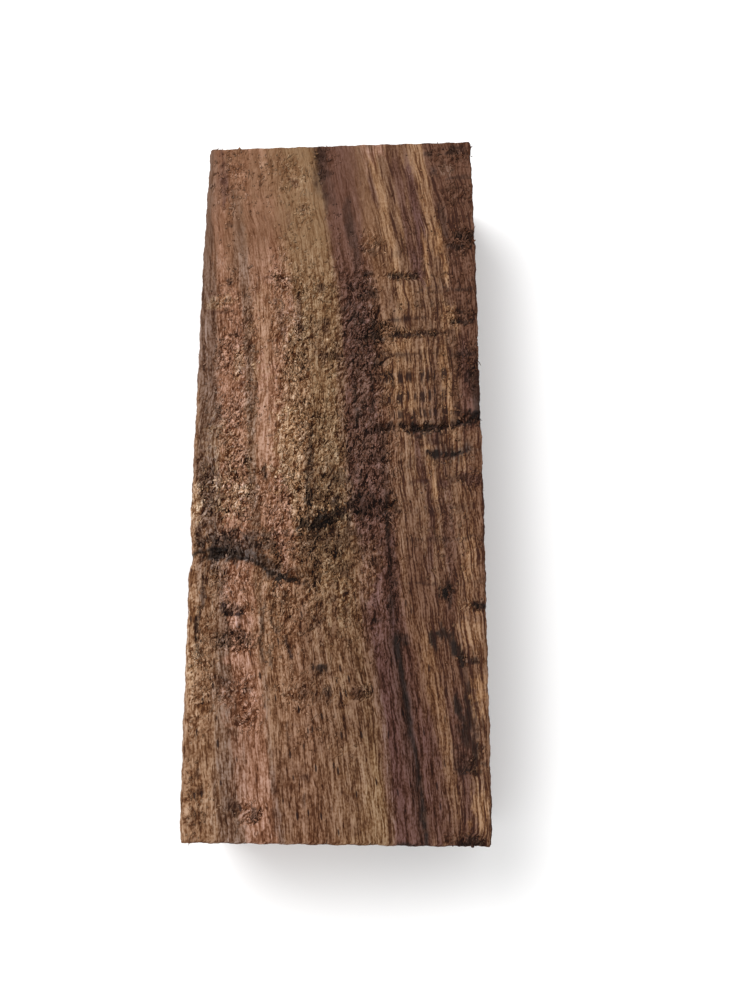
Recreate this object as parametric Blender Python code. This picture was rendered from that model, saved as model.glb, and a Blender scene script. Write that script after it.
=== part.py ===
"""Rough-sawn knife handle block of curly koa, one piece of wood, 5 x 2 x 1 inch.

X runs across the width, Y along the grain and Z up. The origin lies under the block's middle,
on the flat underside that it rests on. Lengths are in metres.
"""

import math
from typing import NamedTuple

import bmesh
import bpy
from mathutils import Matrix, Vector

INCH = 0.0254
MM = 0.001

# Driving dimensions
LENGTH = 5 * INCH
WIDTH = 2 * INCH
THICKNESS = 1 * INCH
EASED = 0.5 * MM  # radius of the sawn arrises
WANE = 1.8 * MM  # radius of the worn arris on the upper left

# Spacing of the surface points, and how far into an arris its own cut lies
GRID_ALONG = 1.35 * MM
GRID_ACROSS = 2.4 * MM
GRID_UP = 4.0 * MM
ARRIS_CUT = 0.4

# The long sides belly out at the middle of their length and spread towards the near end
LEFT_BELLY = 0.55 * MM
RIGHT_BELLY = 0.38 * MM
LEFT_SPREAD = 0.08 * MM
RIGHT_SPREAD = 0.19 * MM
NEAR_END_SLANT = math.radians(-0.4)
FAR_END_SLANT = math.radians(0.1)

# Wandering of the saw along the sides: two slow waves that come and go together
WANDER_DEPTH = 0.1 * MM
WANDER_LONG = 5.3 * MM
WANDER_SHORT = 3.1 * MM

# Saw marks across the sides and ends, leaning a little from upright
SAW_PITCH = 4.1 * MM
SAW_DEPTH = 0.07 * MM
SAW_LEAN = 0.18

# The washboard that the curly figure leaves on top: waves that lean across the grain and bend
CURL_PITCH = 5.4 * MM
CURL_DEPTH = 0.16 * MM
CURL_START = -0.1 * WIDTH  # the curl fades in to the right of this line
CURL_FADE = 0.3 * WIDTH
CURL_LEAN = 0.35
CURL_BEND = 0.9 * MM
CURL_BEND_LENGTH = 6.3 * MM
CURL_STEADY = 0.65  # share of the depth that stays along the whole length
CURL_SWELL_LENGTH = 13.0 * MM

# How the floor of a torn hollow rises and falls
TORN_STEADY = 0.7
TORN_ACROSS = 5.1
TORN_ALONG = 3.7
TORN_LONG = 4.3

SAME_PLACE = 1e-6  # points nearer than this to a plane lie on it
SHARP_ANGLE = math.radians(40)

KOA_BROWN = (0.205, 0.118, 0.072, 1.0)
KOA_ROUGHNESS = 0.85


class Check(NamedTuple):
    """A dark seam of ingrown bark that crosses the grain: a bent line on the top, in millimetres."""

    points: list
    depth: float
    half_width: float


class Tear(NamedTuple):
    """A hollow where the saw lifted the fibres, in millimetres."""

    x: float
    y: float
    half_across: float
    half_along: float
    depth: float


CHECKS = (
    Check([(-26.5, -16.9), (-23.5, -15.6), (-17.0, -15.8), (-12.0, -17.2), (-3.5, -20.2)], 0.95, 1.0),
    Check([(-6.0, -11.6), (0.0, -10.4), (5.0, -8.6), (9.0, -7.4)], 0.55, 1.3),
    Check([(6.5, 6.6), (12.0, 6.9), (16.0, 6.7), (20.0, 7.6), (26.5, 9.2)], 0.6, 0.9),
    Check([(16.5, 1.8), (22.5, 2.3)], 0.3, 0.8),
)

TEARS = (
    Tear(-16.0, 57.0, 6.0, 3.6, 0.24),
    Tear(21.0, 60.0, 3.6, 2.4, 0.32),
    Tear(-21.0, 32.0, 3.4, 2.8, 0.32),
    Tear(-7.0, 34.0, 4.6, 3.0, 0.26),
    Tear(6.0, 24.6, 4.6, 2.4, 0.38),
    Tear(-17.5, -30.6, 3.6, 2.0, 0.55),
    Tear(-2.2, -35.2, 1.8, 1.8, 0.5),
    Tear(1.0, -39.4, 3.6, 2.6, 0.34),
    Tear(18.0, -30.5, 1.8, 3.2, 0.3),
)

# The left side dips in where the deepest check runs out over it
NOTCH_Y = -15.4 * MM
NOTCH_HALF = 3.0 * MM
NOTCH_DEPTH = 0.35 * MM


def clear_scene():
    """Removes the objects that are there already."""
    for obj in list(bpy.data.objects):
        bpy.data.objects.remove(obj)


def stations(low, high, pitch, low_round, high_round):
    """Places where the box is cut across: one in each rounded arris, evenly spread ones between."""
    inner_low, inner_high = low + low_round, high - high_round
    steps = round((inner_high - inner_low) / pitch)
    even = [inner_low + (inner_high - inner_low) * i / steps for i in range(steps + 1)]
    return [low + ARRIS_CUT * low_round, *even, high - ARRIS_CUT * high_round]


def gridded_box():
    """A box on the ground, cut into a grid by planes at its stations."""
    box = bmesh.new()
    size = Matrix.Diagonal((WIDTH, LENGTH, THICKNESS, 1.0))
    bmesh.ops.create_cube(box, size=1.0, matrix=Matrix.Translation((0, 0, THICKNESS / 2)) @ size)
    cuts = (
        (Vector((1, 0, 0)), stations(-WIDTH / 2, WIDTH / 2, GRID_ACROSS, WANE, EASED)),
        (Vector((0, 1, 0)), stations(-LENGTH / 2, LENGTH / 2, GRID_ALONG, EASED, EASED)),
        (Vector((0, 0, 1)), stations(0.0, THICKNESS, GRID_UP, EASED, WANE)),
    )
    for axis, places in cuts:
        for place in places:
            everything = box.verts[:] + box.edges[:] + box.faces[:]
            bmesh.ops.bisect_plane(box, geom=everything, dist=0.0, plane_co=axis * place, plane_no=axis)
    return box


def square_to_round(offset):
    """Moves a point of a square or cube about its corner's centre onto the circle or ball inside it."""
    if offset.length_squared == 0.0:
        return offset
    return offset * (max(abs(part) for part in offset) / offset.length)


def rounded(point):
    """The point of the box, with every arris eased and the upper left one worn to a wider curve."""
    wane_centre = Vector((-WIDTH / 2 + WANE, 0.0, THICKNESS - WANE))
    if point.x < wane_centre.x and point.z > wane_centre.z:
        across = Vector((point.x - wane_centre.x, 0.0, point.z - wane_centre.z))
        point = Vector((wane_centre.x, point.y, wane_centre.z)) + square_to_round(across)
    core = Vector((
        min(max(point.x, -WIDTH / 2 + EASED), WIDTH / 2 - EASED),
        min(max(point.y, -LENGTH / 2 + EASED), LENGTH / 2 - EASED),
        min(max(point.z, EASED), THICKNESS - EASED),
    ))
    return core + square_to_round(point - core)


def smooth(value):
    """0 below 0, 1 above 1, with level ends between."""
    t = min(max(value, 0.0), 1.0)
    return t * t * (3 - 2 * t)


def distance_to_line(x, y, points):
    """The shortest distance from x, y to a bent line through the points."""
    here = Vector((x, y))
    nearest = math.inf
    for start, end in zip(points, points[1:]):
        a, b = Vector(start), Vector(end)
        run = b - a
        share = min(max((here - a).dot(run) / run.length_squared, 0.0), 1.0)
        nearest = min(nearest, (here - a - run * share).length)
    return nearest


def hollows(x, y):
    """How deep the checks and torn hollows go at x, y on top: the deepest of them counts."""
    x_mm, y_mm = x / MM, y / MM
    deep = 0.0
    for check in CHECKS:
        reach = distance_to_line(x_mm, y_mm, check.points) / check.half_width
        deep = max(deep, check.depth * math.exp(-reach * reach))
    for tear in TEARS:
        across = (x_mm - tear.x) / tear.half_across
        along = (y_mm - tear.y) / tear.half_along
        wave = math.sin(TORN_ACROSS * across + TORN_ALONG * along) * math.cos(TORN_LONG * along)
        torn = TORN_STEADY + (1 - TORN_STEADY) * wave
        deep = max(deep, tear.depth * torn * math.exp(-across * across - along * along))
    return deep * MM


def curl(x, y):
    """The washboard of the curly figure: waves that cross the grain and bend as they go."""
    phase = (y + CURL_LEAN * x + CURL_BEND * math.sin(x / CURL_BEND_LENGTH)) / CURL_PITCH
    swell = CURL_STEADY + (1 - CURL_STEADY) * math.sin(y / CURL_SWELL_LENGTH)
    return CURL_DEPTH * smooth((x - CURL_START) / CURL_FADE) * swell * math.sin(2 * math.pi * phase)


def saw_marks(along, up):
    """Shallow scratches left by the saw's teeth, leaning a little."""
    return SAW_DEPTH * math.sin(2 * math.pi * (along + SAW_LEAN * up) / SAW_PITCH)


def side_bulge(x, y):
    """How far the side on x's half lies outside a plain box at y."""
    run = y / (LENGTH / 2)
    wander = WANDER_DEPTH * math.sin(y / WANDER_LONG) * math.sin(y / WANDER_SHORT + 1.0)
    if x < 0:
        notch = NOTCH_DEPTH * math.exp(-(((y - NOTCH_Y) / NOTCH_HALF) ** 2))
        return LEFT_BELLY * (1 - run * run) - LEFT_SPREAD * run + wander - notch
    return RIGHT_BELLY * (1 - run * run) - RIGHT_SPREAD * run + wander


def sawn(point):
    """The rounded point, moved to where the saw and the wood left it."""
    shape = rounded(point)
    half_width, half_length = WIDTH / 2, LENGTH / 2
    x = shape.x + shape.x / half_width * side_bulge(shape.x, shape.y)
    slant = NEAR_END_SLANT if shape.y < 0 else FAR_END_SLANT
    y = shape.y + abs(shape.y / half_length) * shape.x * math.tan(slant)
    if abs(point.x) > half_width - SAME_PLACE:
        x += math.copysign(saw_marks(shape.y, shape.z), x)
    if abs(point.y) > half_length - SAME_PLACE:
        y += math.copysign(saw_marks(shape.x, shape.z), y)
    top = smooth((shape.z - THICKNESS / 2) / (THICKNESS / 2 - WANE))
    z = shape.z + top * (curl(shape.x, shape.y) - hollows(shape.x, shape.y))
    return Vector((x, y, z))


def join_underside(box):
    """Makes the flat underside one face, then a fan of triangles about its middle."""
    flat = [face for face in box.faces if all(vert.co.z < SAME_PLACE for vert in face.verts)]
    underside = bmesh.ops.dissolve_faces(box, faces=flat, use_verts=False)["region"]
    bmesh.ops.poke(box, faces=underside)


def centre_over_origin(box):
    """Slides the block so that its outline from above is centred on the origin."""
    for axis in (0, 1):
        low = min(vert.co[axis] for vert in box.verts)
        high = max(vert.co[axis] for vert in box.verts)
        for vert in box.verts:
            vert.co[axis] -= (low + high) / 2


def koa_material():
    """Sawn koa, unfinished and dull."""
    material = bpy.data.materials.new("sawn_koa")
    material.use_nodes = True
    shader = material.node_tree.nodes["Principled BSDF"]
    shader.inputs["Base Color"].default_value = KOA_BROWN
    shader.inputs["Roughness"].default_value = KOA_ROUGHNESS
    shader.inputs["Metallic"].default_value = 0.0
    return material


def koa_block(collection):
    """The block: a gridded box whose points are moved to the sawn shape."""
    box = gridded_box()
    for vert in box.verts:
        vert.co = sawn(vert.co)
    join_underside(box)
    centre_over_origin(box)
    mesh = bpy.data.meshes.new("koa_block")
    box.to_mesh(mesh)
    box.free()
    mesh.shade_smooth()
    mesh.set_sharp_from_angle(angle=SHARP_ANGLE)
    mesh.materials.append(koa_material())
    collection.objects.link(bpy.data.objects.new("koa_block", mesh))


def main():
    clear_scene()
    collection = bpy.data.collections.new("curly_koa_block")
    bpy.context.scene.collection.children.link(collection)
    koa_block(collection)


main()
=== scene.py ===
"""Dresses the curly koa handle block: rough-sawn, torn and figured wood on a plain pale floor.

Everything is worked out in millimetres in the block's own frame (X across, Y along the grain, Z up from
the underside) and put into the meshes in metres. The marks of the wood are named streaks, smudges and
seams with formulas of their own; the finest fibres and pores are in the material. In the formulas x is the
place across the block, y the place along it and d the depth below the top.
"""

import logging
import math
from dataclasses import dataclass
from enum import Enum

import bpy
import numpy as np
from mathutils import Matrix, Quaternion, Vector


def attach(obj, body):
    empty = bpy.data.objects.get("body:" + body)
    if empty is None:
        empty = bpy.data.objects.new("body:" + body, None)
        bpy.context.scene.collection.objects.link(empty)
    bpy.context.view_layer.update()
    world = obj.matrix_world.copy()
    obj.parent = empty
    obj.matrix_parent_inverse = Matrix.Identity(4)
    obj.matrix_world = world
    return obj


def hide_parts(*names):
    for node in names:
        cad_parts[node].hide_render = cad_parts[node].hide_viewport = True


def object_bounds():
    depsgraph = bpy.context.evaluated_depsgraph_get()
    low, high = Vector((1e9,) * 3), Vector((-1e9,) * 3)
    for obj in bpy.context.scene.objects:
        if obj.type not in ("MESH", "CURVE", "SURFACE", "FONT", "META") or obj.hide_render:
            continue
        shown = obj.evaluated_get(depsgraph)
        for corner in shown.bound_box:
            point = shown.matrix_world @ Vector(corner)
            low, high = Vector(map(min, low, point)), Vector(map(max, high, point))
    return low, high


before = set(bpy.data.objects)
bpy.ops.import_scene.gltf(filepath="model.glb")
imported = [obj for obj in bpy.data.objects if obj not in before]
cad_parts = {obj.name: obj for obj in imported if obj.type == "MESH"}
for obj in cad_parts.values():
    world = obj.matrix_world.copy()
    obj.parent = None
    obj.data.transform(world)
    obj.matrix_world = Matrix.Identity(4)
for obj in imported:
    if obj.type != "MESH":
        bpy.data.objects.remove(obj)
CAD_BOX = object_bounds()

MM = 0.001
EXPOSURE = 1.3  # how much brighter than its own colour a level surface shows under the studio's light
LUMINANCE = np.array([0.2126, 0.7152, 0.0722])  # how much red, green and blue count towards brightness
DARKENING = (0.8, 1.08, 1.4)  # powers of red, green and blue: the darker the wood is, the redder
DARKEST, LIGHTEST = 0.002, 0.9  # the range of the wood's own colours in linear light
LOG = logging.getLogger("koa_block")
Array = np.ndarray
Line = tuple[tuple[float, float], ...]
Triple = tuple[float, float, float]
Socket = bpy.types.NodeSocket


# Random fields


def hashed(ix: Array, iy: Array, iz: Array, seed: int) -> Array:
    """A random number for each whole-number point, the same on every run: its bits are mixed three times.

    Args:
        ix, iy, iz: whole-number places.
        seed: which of the random patterns.

    Returns:
        Numbers from 0 to 1.
    """
    n = ix.astype(np.int64).astype(np.uint32) * np.uint32(0x8DA6B343)
    n ^= iy.astype(np.int64).astype(np.uint32) * np.uint32(0xD8163841)
    n ^= iz.astype(np.int64).astype(np.uint32) * np.uint32(0xCB1AB31F)
    n ^= np.uint32((seed * 0x9E3779B9) & 0xFFFFFFFF)
    for shift, factor in ((15, 0x2C1B3C6D), (12, 0x297A2D39)):
        n ^= n >> np.uint32(shift)
        n *= np.uint32(factor)
    n ^= n >> np.uint32(15)
    return n / 4294967295.0


def smooth_noise(x: Array, y: Array, z: Array, seed: int) -> Array:
    """Value noise: random numbers at whole-number points, blended between them with level slopes.

    Args:
        x, y, z: places, already scaled so that one bump is about 1 wide.
        seed: which of the random patterns.

    Returns:
        Numbers from -1 to 1.
    """
    corner = [np.floor(part) for part in (x, y, z)]
    share = [part - low for part, low in zip((x, y, z), corner)]
    fade = [t * t * t * (t * (6 * t - 15) + 10) for t in share]
    total = np.zeros(np.broadcast(x, y, z).shape)
    for i in (0, 1):
        for j in (0, 1):
            for k in (0, 1):
                weight = (fade[0] if i else 1 - fade[0]) * (fade[1] if j else 1 - fade[1])
                weight = weight * (fade[2] if k else 1 - fade[2])
                total += weight * hashed(corner[0] + i, corner[1] + j, corner[2] + k, seed)
    return 2 * total - 1


def layered(x: Array, y: Array, z: Array, seed: int, layers: int) -> Array:
    """Smooth noise in layers, each twice as fine as the last and 0.55 times as strong.

    Args:
        x, y, z: places, scaled so that one bump of the first layer is about 1 wide.
        seed: which of the random patterns.
        layers: how many.

    Returns:
        Numbers from about -1 to 1.
    """
    keep, spread, seed_step = 0.55, 1.4, 17
    total, strength, norm = 0.0, 1.0, 0.0
    for layer in range(layers):
        scale = 2.0**layer
        total = total + strength * smooth_noise(x * scale, y * scale, z * scale, seed + seed_step * layer)
        norm += strength
        strength *= keep
    return total / norm * spread


def cells(x: Array, y: Array, z: Array, seed: int) -> tuple[Array, Array, Array, Array, Array]:
    """Cells about one random point in each unit cube, as in the scales of torn wood.

    Args:
        x, y, z: places, scaled so that one cell is about 1 wide.
        seed: which of the random patterns.

    Returns:
        Distance to the nearest point and to the second nearest, the x and y offset from the nearest, and
        that cell's own random number.
    """
    base = [np.floor(part) for part in (x, y, z)]
    first = np.full(x.shape, 9.0)
    second = np.full(x.shape, 9.0)
    off_x, off_y, own = np.zeros(x.shape), np.zeros(x.shape), np.zeros(x.shape)
    for i in (-1, 0, 1):
        for j in (-1, 0, 1):
            for k in (-1, 0, 1):
                at = (base[0] + i, base[1] + j, base[2] + k)
                dx = x - at[0] - hashed(*at, seed)
                dy = y - at[1] - hashed(*at, seed + 1)
                dz = z - at[2] - hashed(*at, seed + 2)
                far = np.sqrt(dx * dx + dy * dy + dz * dz)
                nearer = far < first
                second = np.where(nearer, first, np.minimum(second, far))
                first = np.where(nearer, far, first)
                off_x = np.where(nearer, dx, off_x)
                off_y = np.where(nearer, dy, off_y)
                own = np.where(nearer, hashed(*at, seed + 3), own)
    return first, second, off_x, off_y, own


@dataclass(frozen=True)
class Field:
    """A random field in the wood: its bumps per millimetre across and along, its seed and its layers."""

    across: float
    along: float
    seed: int
    layers: int = 0  # 0 for plain smooth noise

    def at(self, x: Array, y: Array, d: Array) -> Array:
        """The field at a set of places: noise on the places times the bumps per millimetre.

        Args:
            x, y, d: places; x may be a place across the grain.

        Returns:
            Numbers from about -1 to 1.
        """
        place = (x * self.across, y * self.along, d * self.across)
        if self.layers:
            return layered(*place, self.seed, self.layers)
        return smooth_noise(*place, self.seed)

    def on_top(self, x: Array, y: Array) -> Array:
        """The field on the top, used at any depth."""
        return self.at(x, y, 0 * x)


FIBRES = Field(2.9, 0.2, 11, 2)
STRANDS = Field(1.1, 0.12, 12, 2)
LUMPS = Field(0.95, 0.85, 13, 3)
GRIT = Field(2.3, 2.0, 14, 2)
SLOW_CHANGE = Field(0.2, 0.11, 15)
SLOW_SWAY = Field(0.1, 0.055, 16)
QUICK_SWAY = Field(0.25, 0.2, 17)
ROPES = Field(0.42, 0.05, 18)
CURLS = Field(0.3, 0.26, 19)
SCALE_SEED = 31


def smooth(value: Array, low: float = 0.0, high: float = 1.0) -> Array:
    """0 below low, 1 above high, and between them a curve with level ends."""
    t = np.clip((value - low) / (high - low), 0.0, 1.0)
    return t * t * (3 - 2 * t)


def bell(value: Array, middle: float, half: float) -> Array:
    """A bell curve: 1 at the middle, and a good third of it at half to each side."""
    return np.exp(-(((value - middle) / half) ** 2))


# The block's form: the same formulas as the solid's


@dataclass(frozen=True)
class Check:
    """A dark seam of ingrown bark across the grain: a bent line on the top, in millimetres."""

    points: Line
    depth: float
    half_width: float


@dataclass(frozen=True)
class Tear:
    """A hollow where the saw lifted the fibres, in millimetres."""

    x: float
    y: float
    half_across: float
    half_along: float
    depth: float


def distance_to_line(x: Array, y: Array, points: Line) -> Array:
    """The shortest distance to a bent line: to the nearest place on each of its straight runs.

    Args:
        x, y: places.
        points: the line's corners.

    Returns:
        Distances.
    """
    nearest = np.full(np.shape(x), 1e9)
    for (ax, ay), (bx, by) in zip(points, points[1:]):
        run_x, run_y = bx - ax, by - ay
        share = ((x - ax) * run_x + (y - ay) * run_y) / (run_x * run_x + run_y * run_y)
        share = np.clip(share, 0.0, 1.0)
        nearest = np.minimum(nearest, np.hypot(x - ax - run_x * share, y - ay - run_y * share))
    return nearest


def square_to_round(offset: Array) -> Array:
    """Moves points of a cube about its middle onto the ball inside it.

    Args:
        offset: points from the cube's middle.

    Returns:
        Each point times its largest part over its length.
    """
    length = np.linalg.norm(offset, axis=1)
    largest = np.abs(offset).max(axis=1)
    return offset * (largest / np.maximum(length, 1e-12))[:, None]


@dataclass(frozen=True)
class BlockForm:
    """The sawn block's shape, in millimetres, with the solid's own values."""

    length: float = 127.0
    width: float = 50.8
    thickness: float = 25.4
    eased: float = 0.5
    wane: float = 1.8
    left_belly: float = 0.55
    right_belly: float = 0.38
    left_spread: float = 0.08
    right_spread: float = 0.19
    near_slant: float = math.radians(-0.4)
    far_slant: float = math.radians(0.1)
    wander: Triple = (0.1, 5.3, 3.1)  # depth, and its two lengths
    saw_pitch: float = 4.1
    saw_depth: float = 0.07
    saw_lean: float = 0.18
    curl_pitch: float = 5.4
    curl_depth: float = 0.16
    curl_start: float = -5.08
    curl_fade: float = 15.24
    curl_lean: float = 0.35
    curl_bend: tuple[float, float] = (0.9, 6.3)  # how far, and over what length
    curl_swell: tuple[float, float] = (0.65, 13.0)  # steady share, and length of the swell
    torn_floor: tuple[float, float, float, float] = (0.7, 5.1, 3.7, 4.3)
    notch: Triple = (-15.4, 3.0, 0.35)  # y, half length, depth
    checks: tuple[Check, ...] = (
        Check(((-26.5, -16.9), (-23.5, -15.6), (-17.0, -15.8), (-12.0, -17.2), (-3.5, -20.2)), 0.95, 1.0),
        Check(((-6.0, -11.6), (0.0, -10.4), (5.0, -8.6), (9.0, -7.4)), 0.55, 1.3),
        Check(((6.5, 6.6), (12.0, 6.9), (16.0, 6.7), (20.0, 7.6), (26.5, 9.2)), 0.6, 0.9),
        Check(((16.5, 1.8), (22.5, 2.3)), 0.3, 0.8),
    )
    tears: tuple[Tear, ...] = (
        Tear(-16.0, 57.0, 6.0, 3.6, 0.24),
        Tear(21.0, 60.0, 3.6, 2.4, 0.32),
        Tear(-21.0, 32.0, 3.4, 2.8, 0.32),
        Tear(-7.0, 34.0, 4.6, 3.0, 0.26),
        Tear(6.0, 24.6, 4.6, 2.4, 0.38),
        Tear(-17.5, -30.6, 3.6, 2.0, 0.55),
        Tear(-2.2, -35.2, 1.8, 1.8, 0.5),
        Tear(1.0, -39.4, 3.6, 2.6, 0.34),
        Tear(18.0, -30.5, 1.8, 3.2, 0.3),
    )

    def rounded(self, box: Array) -> tuple[Array, Array]:
        """Eases every arris of the box, and wears the upper left one to a wider curve.

        Args:
            box: points on the plain box.

        Returns:
            The points on the rounded box, and the outward direction at each.
        """
        half_width, half_length = self.width / 2, self.length / 2
        point = box.copy()
        beside = box[:, 0] + half_width - self.wane
        above = box[:, 2] - self.thickness + self.wane
        across = np.stack([beside, np.zeros(len(box)), above], 1)
        worn = (across[:, 0] < 0) & (across[:, 2] > 0)
        turned = square_to_round(across)
        point[worn, 0] = (turned[:, 0] - half_width + self.wane)[worn]
        point[worn, 2] = (turned[:, 2] + self.thickness - self.wane)[worn]
        low = np.array([-half_width + self.eased, -half_length + self.eased, self.eased])
        high = np.array([half_width - self.eased, half_length - self.eased, self.thickness - self.eased])
        core = np.clip(point, low, high)
        offset = square_to_round(point - core)
        outward = np.where(worn[:, None], turned + offset * 4, offset)
        outward = outward / np.maximum(np.linalg.norm(outward, axis=1), 1e-9)[:, None]
        return core + offset, outward

    def hollows(self, x: Array, y: Array) -> Array:
        """How deep the checks and torn hollows go on top: bell curves, of which the deepest counts.

        Args:
            x, y: places.

        Returns:
            Depths.
        """
        deep = np.zeros(np.shape(x))
        for check in self.checks:
            reach = distance_to_line(x, y, check.points) / check.half_width
            deep = np.maximum(deep, check.depth * np.exp(-reach * reach))
        steady, wave_across, wave_along, wave_long = self.torn_floor
        for tear in self.tears:
            across = (x - tear.x) / tear.half_across
            along = (y - tear.y) / tear.half_along
            wave = np.sin(wave_across * across + wave_along * along) * np.cos(wave_long * along)
            torn = steady + (1 - steady) * wave
            deep = np.maximum(deep, tear.depth * torn * np.exp(-across * across - along * along))
        return deep

    def curl_phase(self, x: Array, y: Array) -> Array:
        """The turn of the curl's waves, in radians: they lean across the grain and bend as they go."""
        bend, bend_length = self.curl_bend
        return 2 * math.pi * (y + self.curl_lean * x + bend * np.sin(x / bend_length)) / self.curl_pitch

    def curl(self, x: Array, y: Array) -> Array:
        """The washboard of the curly figure: a sine of the phase that fades in to the right.

        Args:
            x, y: places.

        Returns:
            Heights.
        """
        steady, swell_length = self.curl_swell
        swell = steady + (1 - steady) * np.sin(y / swell_length)
        fade = smooth((x - self.curl_start) / self.curl_fade)
        return self.curl_depth * fade * swell * np.sin(self.curl_phase(x, y))

    def saw_marks(self, along: Array, up: Array) -> Array:
        """Shallow scratches left by the saw's teeth: a sine that leans a little."""
        return self.saw_depth * np.sin(2 * math.pi * (along + self.saw_lean * up) / self.saw_pitch)

    def side_bulge(self, x: Array, y: Array) -> Array:
        """How far each side lies outside a plain box: a belly, a slant and a small wander, less the notch.

        Args:
            x, y: places; the side is the one on x's half.

        Returns:
            Distances outwards.
        """
        run = y / (self.length / 2)
        depth, slow, quick = self.wander
        wander = depth * np.sin(y / slow) * np.sin(y / quick + 1.0)
        middle, half, notch_depth = self.notch
        notch = notch_depth * bell(y, middle, half)
        left = self.left_belly * (1 - run * run) - self.left_spread * run + wander - notch
        right = self.right_belly * (1 - run * run) - self.right_spread * run + wander
        return np.where(x < 0, left, right)

    def sawn(self, box: Array, shape: Array) -> Array:
        """Moves the rounded points to where the saw and the wood left them, as in the solid.

        Args:
            box: the points on the plain box.
            shape: the same points on the rounded box.

        Returns:
            The points of the sawn block.
        """
        half_width, half_length = self.width / 2, self.length / 2
        x = shape[:, 0] + shape[:, 0] / half_width * self.side_bulge(shape[:, 0], shape[:, 1])
        slant = np.where(shape[:, 1] < 0, math.tan(self.near_slant), math.tan(self.far_slant))
        y = shape[:, 1] + np.abs(shape[:, 1] / half_length) * shape[:, 0] * slant
        on_side = np.abs(box[:, 0]) > half_width - 1e-6
        on_end = np.abs(box[:, 1]) > half_length - 1e-6
        x = x + on_side * np.sign(x) * self.saw_marks(shape[:, 1], shape[:, 2])
        y = y + on_end * np.sign(y) * self.saw_marks(shape[:, 0], shape[:, 2])
        top = smooth((shape[:, 2] - self.thickness / 2) / (self.thickness / 2 - self.wane))
        z = shape[:, 2] + top * (self.curl(shape[:, 0], shape[:, 1]) - self.hollows(shape[:, 0], shape[:, 1]))
        return np.stack([x, y, z], 1)


# The wood's colours and marks


def linear(*levels: float) -> Array:
    """Turns display levels from 0 to 255 into linear light."""
    part = np.array(levels) / 255.0
    return np.where(part <= 0.04045, part / 12.92, ((part + 0.055) / 1.055) ** 2.4)


class Tone(Enum):
    """The colours in the wood, as display levels."""

    ROSE = (142, 100, 76)
    SALMON = (160, 117, 95)
    TAN = (143, 106, 77)
    OLIVE = (128, 96, 67)
    PALE = (182, 147, 113)
    GOLD = (152, 111, 76)
    HONEY = (105, 73, 51)
    BROWN = (117, 82, 57)
    UMBER = (87, 55, 38)
    RUST = (62, 36, 22)
    GREY = (112, 84, 66)
    SLATE = (90, 72, 61)
    PLUM = (99, 66, 52)
    WINE = (78, 48, 39)
    DEEP = (53, 33, 24)
    WINE_DARK = (40, 22, 18)
    BARK = (26, 18, 14)

    @property
    def light(self) -> Array:
        """The wood's own colour in linear light."""
        return linear(*self.value) / EXPOSURE


@dataclass(frozen=True)
class Weather:
    """Random fields at a set of points, shared by all the marks, each from about -1 to 1."""

    along: Array  # fine fibres, drawn out along the grain
    strands: Array  # coarser strands, drawn out along the grain
    ragged: Array  # millimetre lumps
    specks: Array  # finer grit
    slow: Array  # slow changes over a centimetre


@dataclass(frozen=True)
class Streak:
    """A band or line that runs along the grain: its middle's (y, x) from far to near, in millimetres."""

    tone: Tone
    points: Line
    half_width: float
    strength: float
    fray: float = 0.35
    edge: float = 0.5
    broken: float = 0.0
    end: float = 2.0

    def weight(self, x: Array, y: Array, weather: Weather) -> Array:
        """How strongly the streak colours each point: full inside its width, frayed at edges and ends.

        Args:
            x, y: places.
            weather: the random fields there.

        Returns:
            Weights from 0 to the streak's strength.
        """
        far_to_near = np.array(self.points)[::-1]
        near_end, far_end = far_to_near[0, 0], far_to_near[-1, 0]
        middle = np.interp(y, far_to_near[:, 0], far_to_near[:, 1])
        half = self.half_width * (1 + 0.35 * weather.slow)
        off = np.abs(x - middle + self.fray * weather.along) / half
        body = 1 - smooth(off, 1 - self.edge, 1 + self.edge)
        reach = y + 1.6 * self.end * weather.strands
        body = body * smooth(reach, near_end - self.end, near_end + self.end * 0.2)
        body = body * (1 - smooth(reach, far_end - self.end * 0.2, far_end + self.end))
        if self.broken:
            body = body * (1 - self.broken * smooth(weather.ragged, -0.25, 0.35))
        return self.strength * body


@dataclass(frozen=True)
class Smudge:
    """A patch of colour about x, y, in millimetres, that leans by so many degrees from the grain."""

    tone: Tone
    x: float
    y: float
    half_across: float
    half_along: float
    strength: float
    rough: float = 0.45
    lean: float = 0.0
    drawn: float = 0.0  # how far its ends are drawn out along the fibres

    def weight(self, x: Array, y: Array, weather: Weather) -> Array:
        """How strongly the patch colours each point: an ellipse with a ragged edge.

        Args:
            x, y: places.
            weather: the random fields there.

        Returns:
            Weights from 0 to the patch's strength.
        """
        turn = math.radians(self.lean)
        dx = x - self.x
        dy = y - self.y + self.drawn * weather.along
        across = (dx * math.cos(turn) + dy * math.sin(turn)) / self.half_across
        along = (dy * math.cos(turn) - dx * math.sin(turn)) / self.half_along
        reach = np.hypot(across, along) + self.rough * (0.7 * weather.ragged + 0.5 * weather.specks)
        return self.strength * (1 - smooth(reach, 0.6, 1.05))


@dataclass(frozen=True)
class Seam:
    """A line of bark or stain across the grain, through x, y points, in millimetres."""

    tone: Tone
    points: Line
    half_width: float
    strength: float
    rough: float = 0.6

    def weight(self, x: Array, y: Array, weather: Weather) -> Array:
        """How strongly the seam colours each point: by distance to its line, with a ragged edge.

        Args:
            x, y: places.
            weather: the random fields there.

        Returns:
            Weights from 0 to the seam's strength.
        """
        wandering = y + 0.35 * weather.ragged
        reach = distance_to_line(x, wandering, self.points) / self.half_width
        reach = reach + self.rough * (0.6 * weather.ragged + 0.6 * weather.specks)
        return self.strength * (1 - smooth(reach, 0.55, 1.1))


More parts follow.
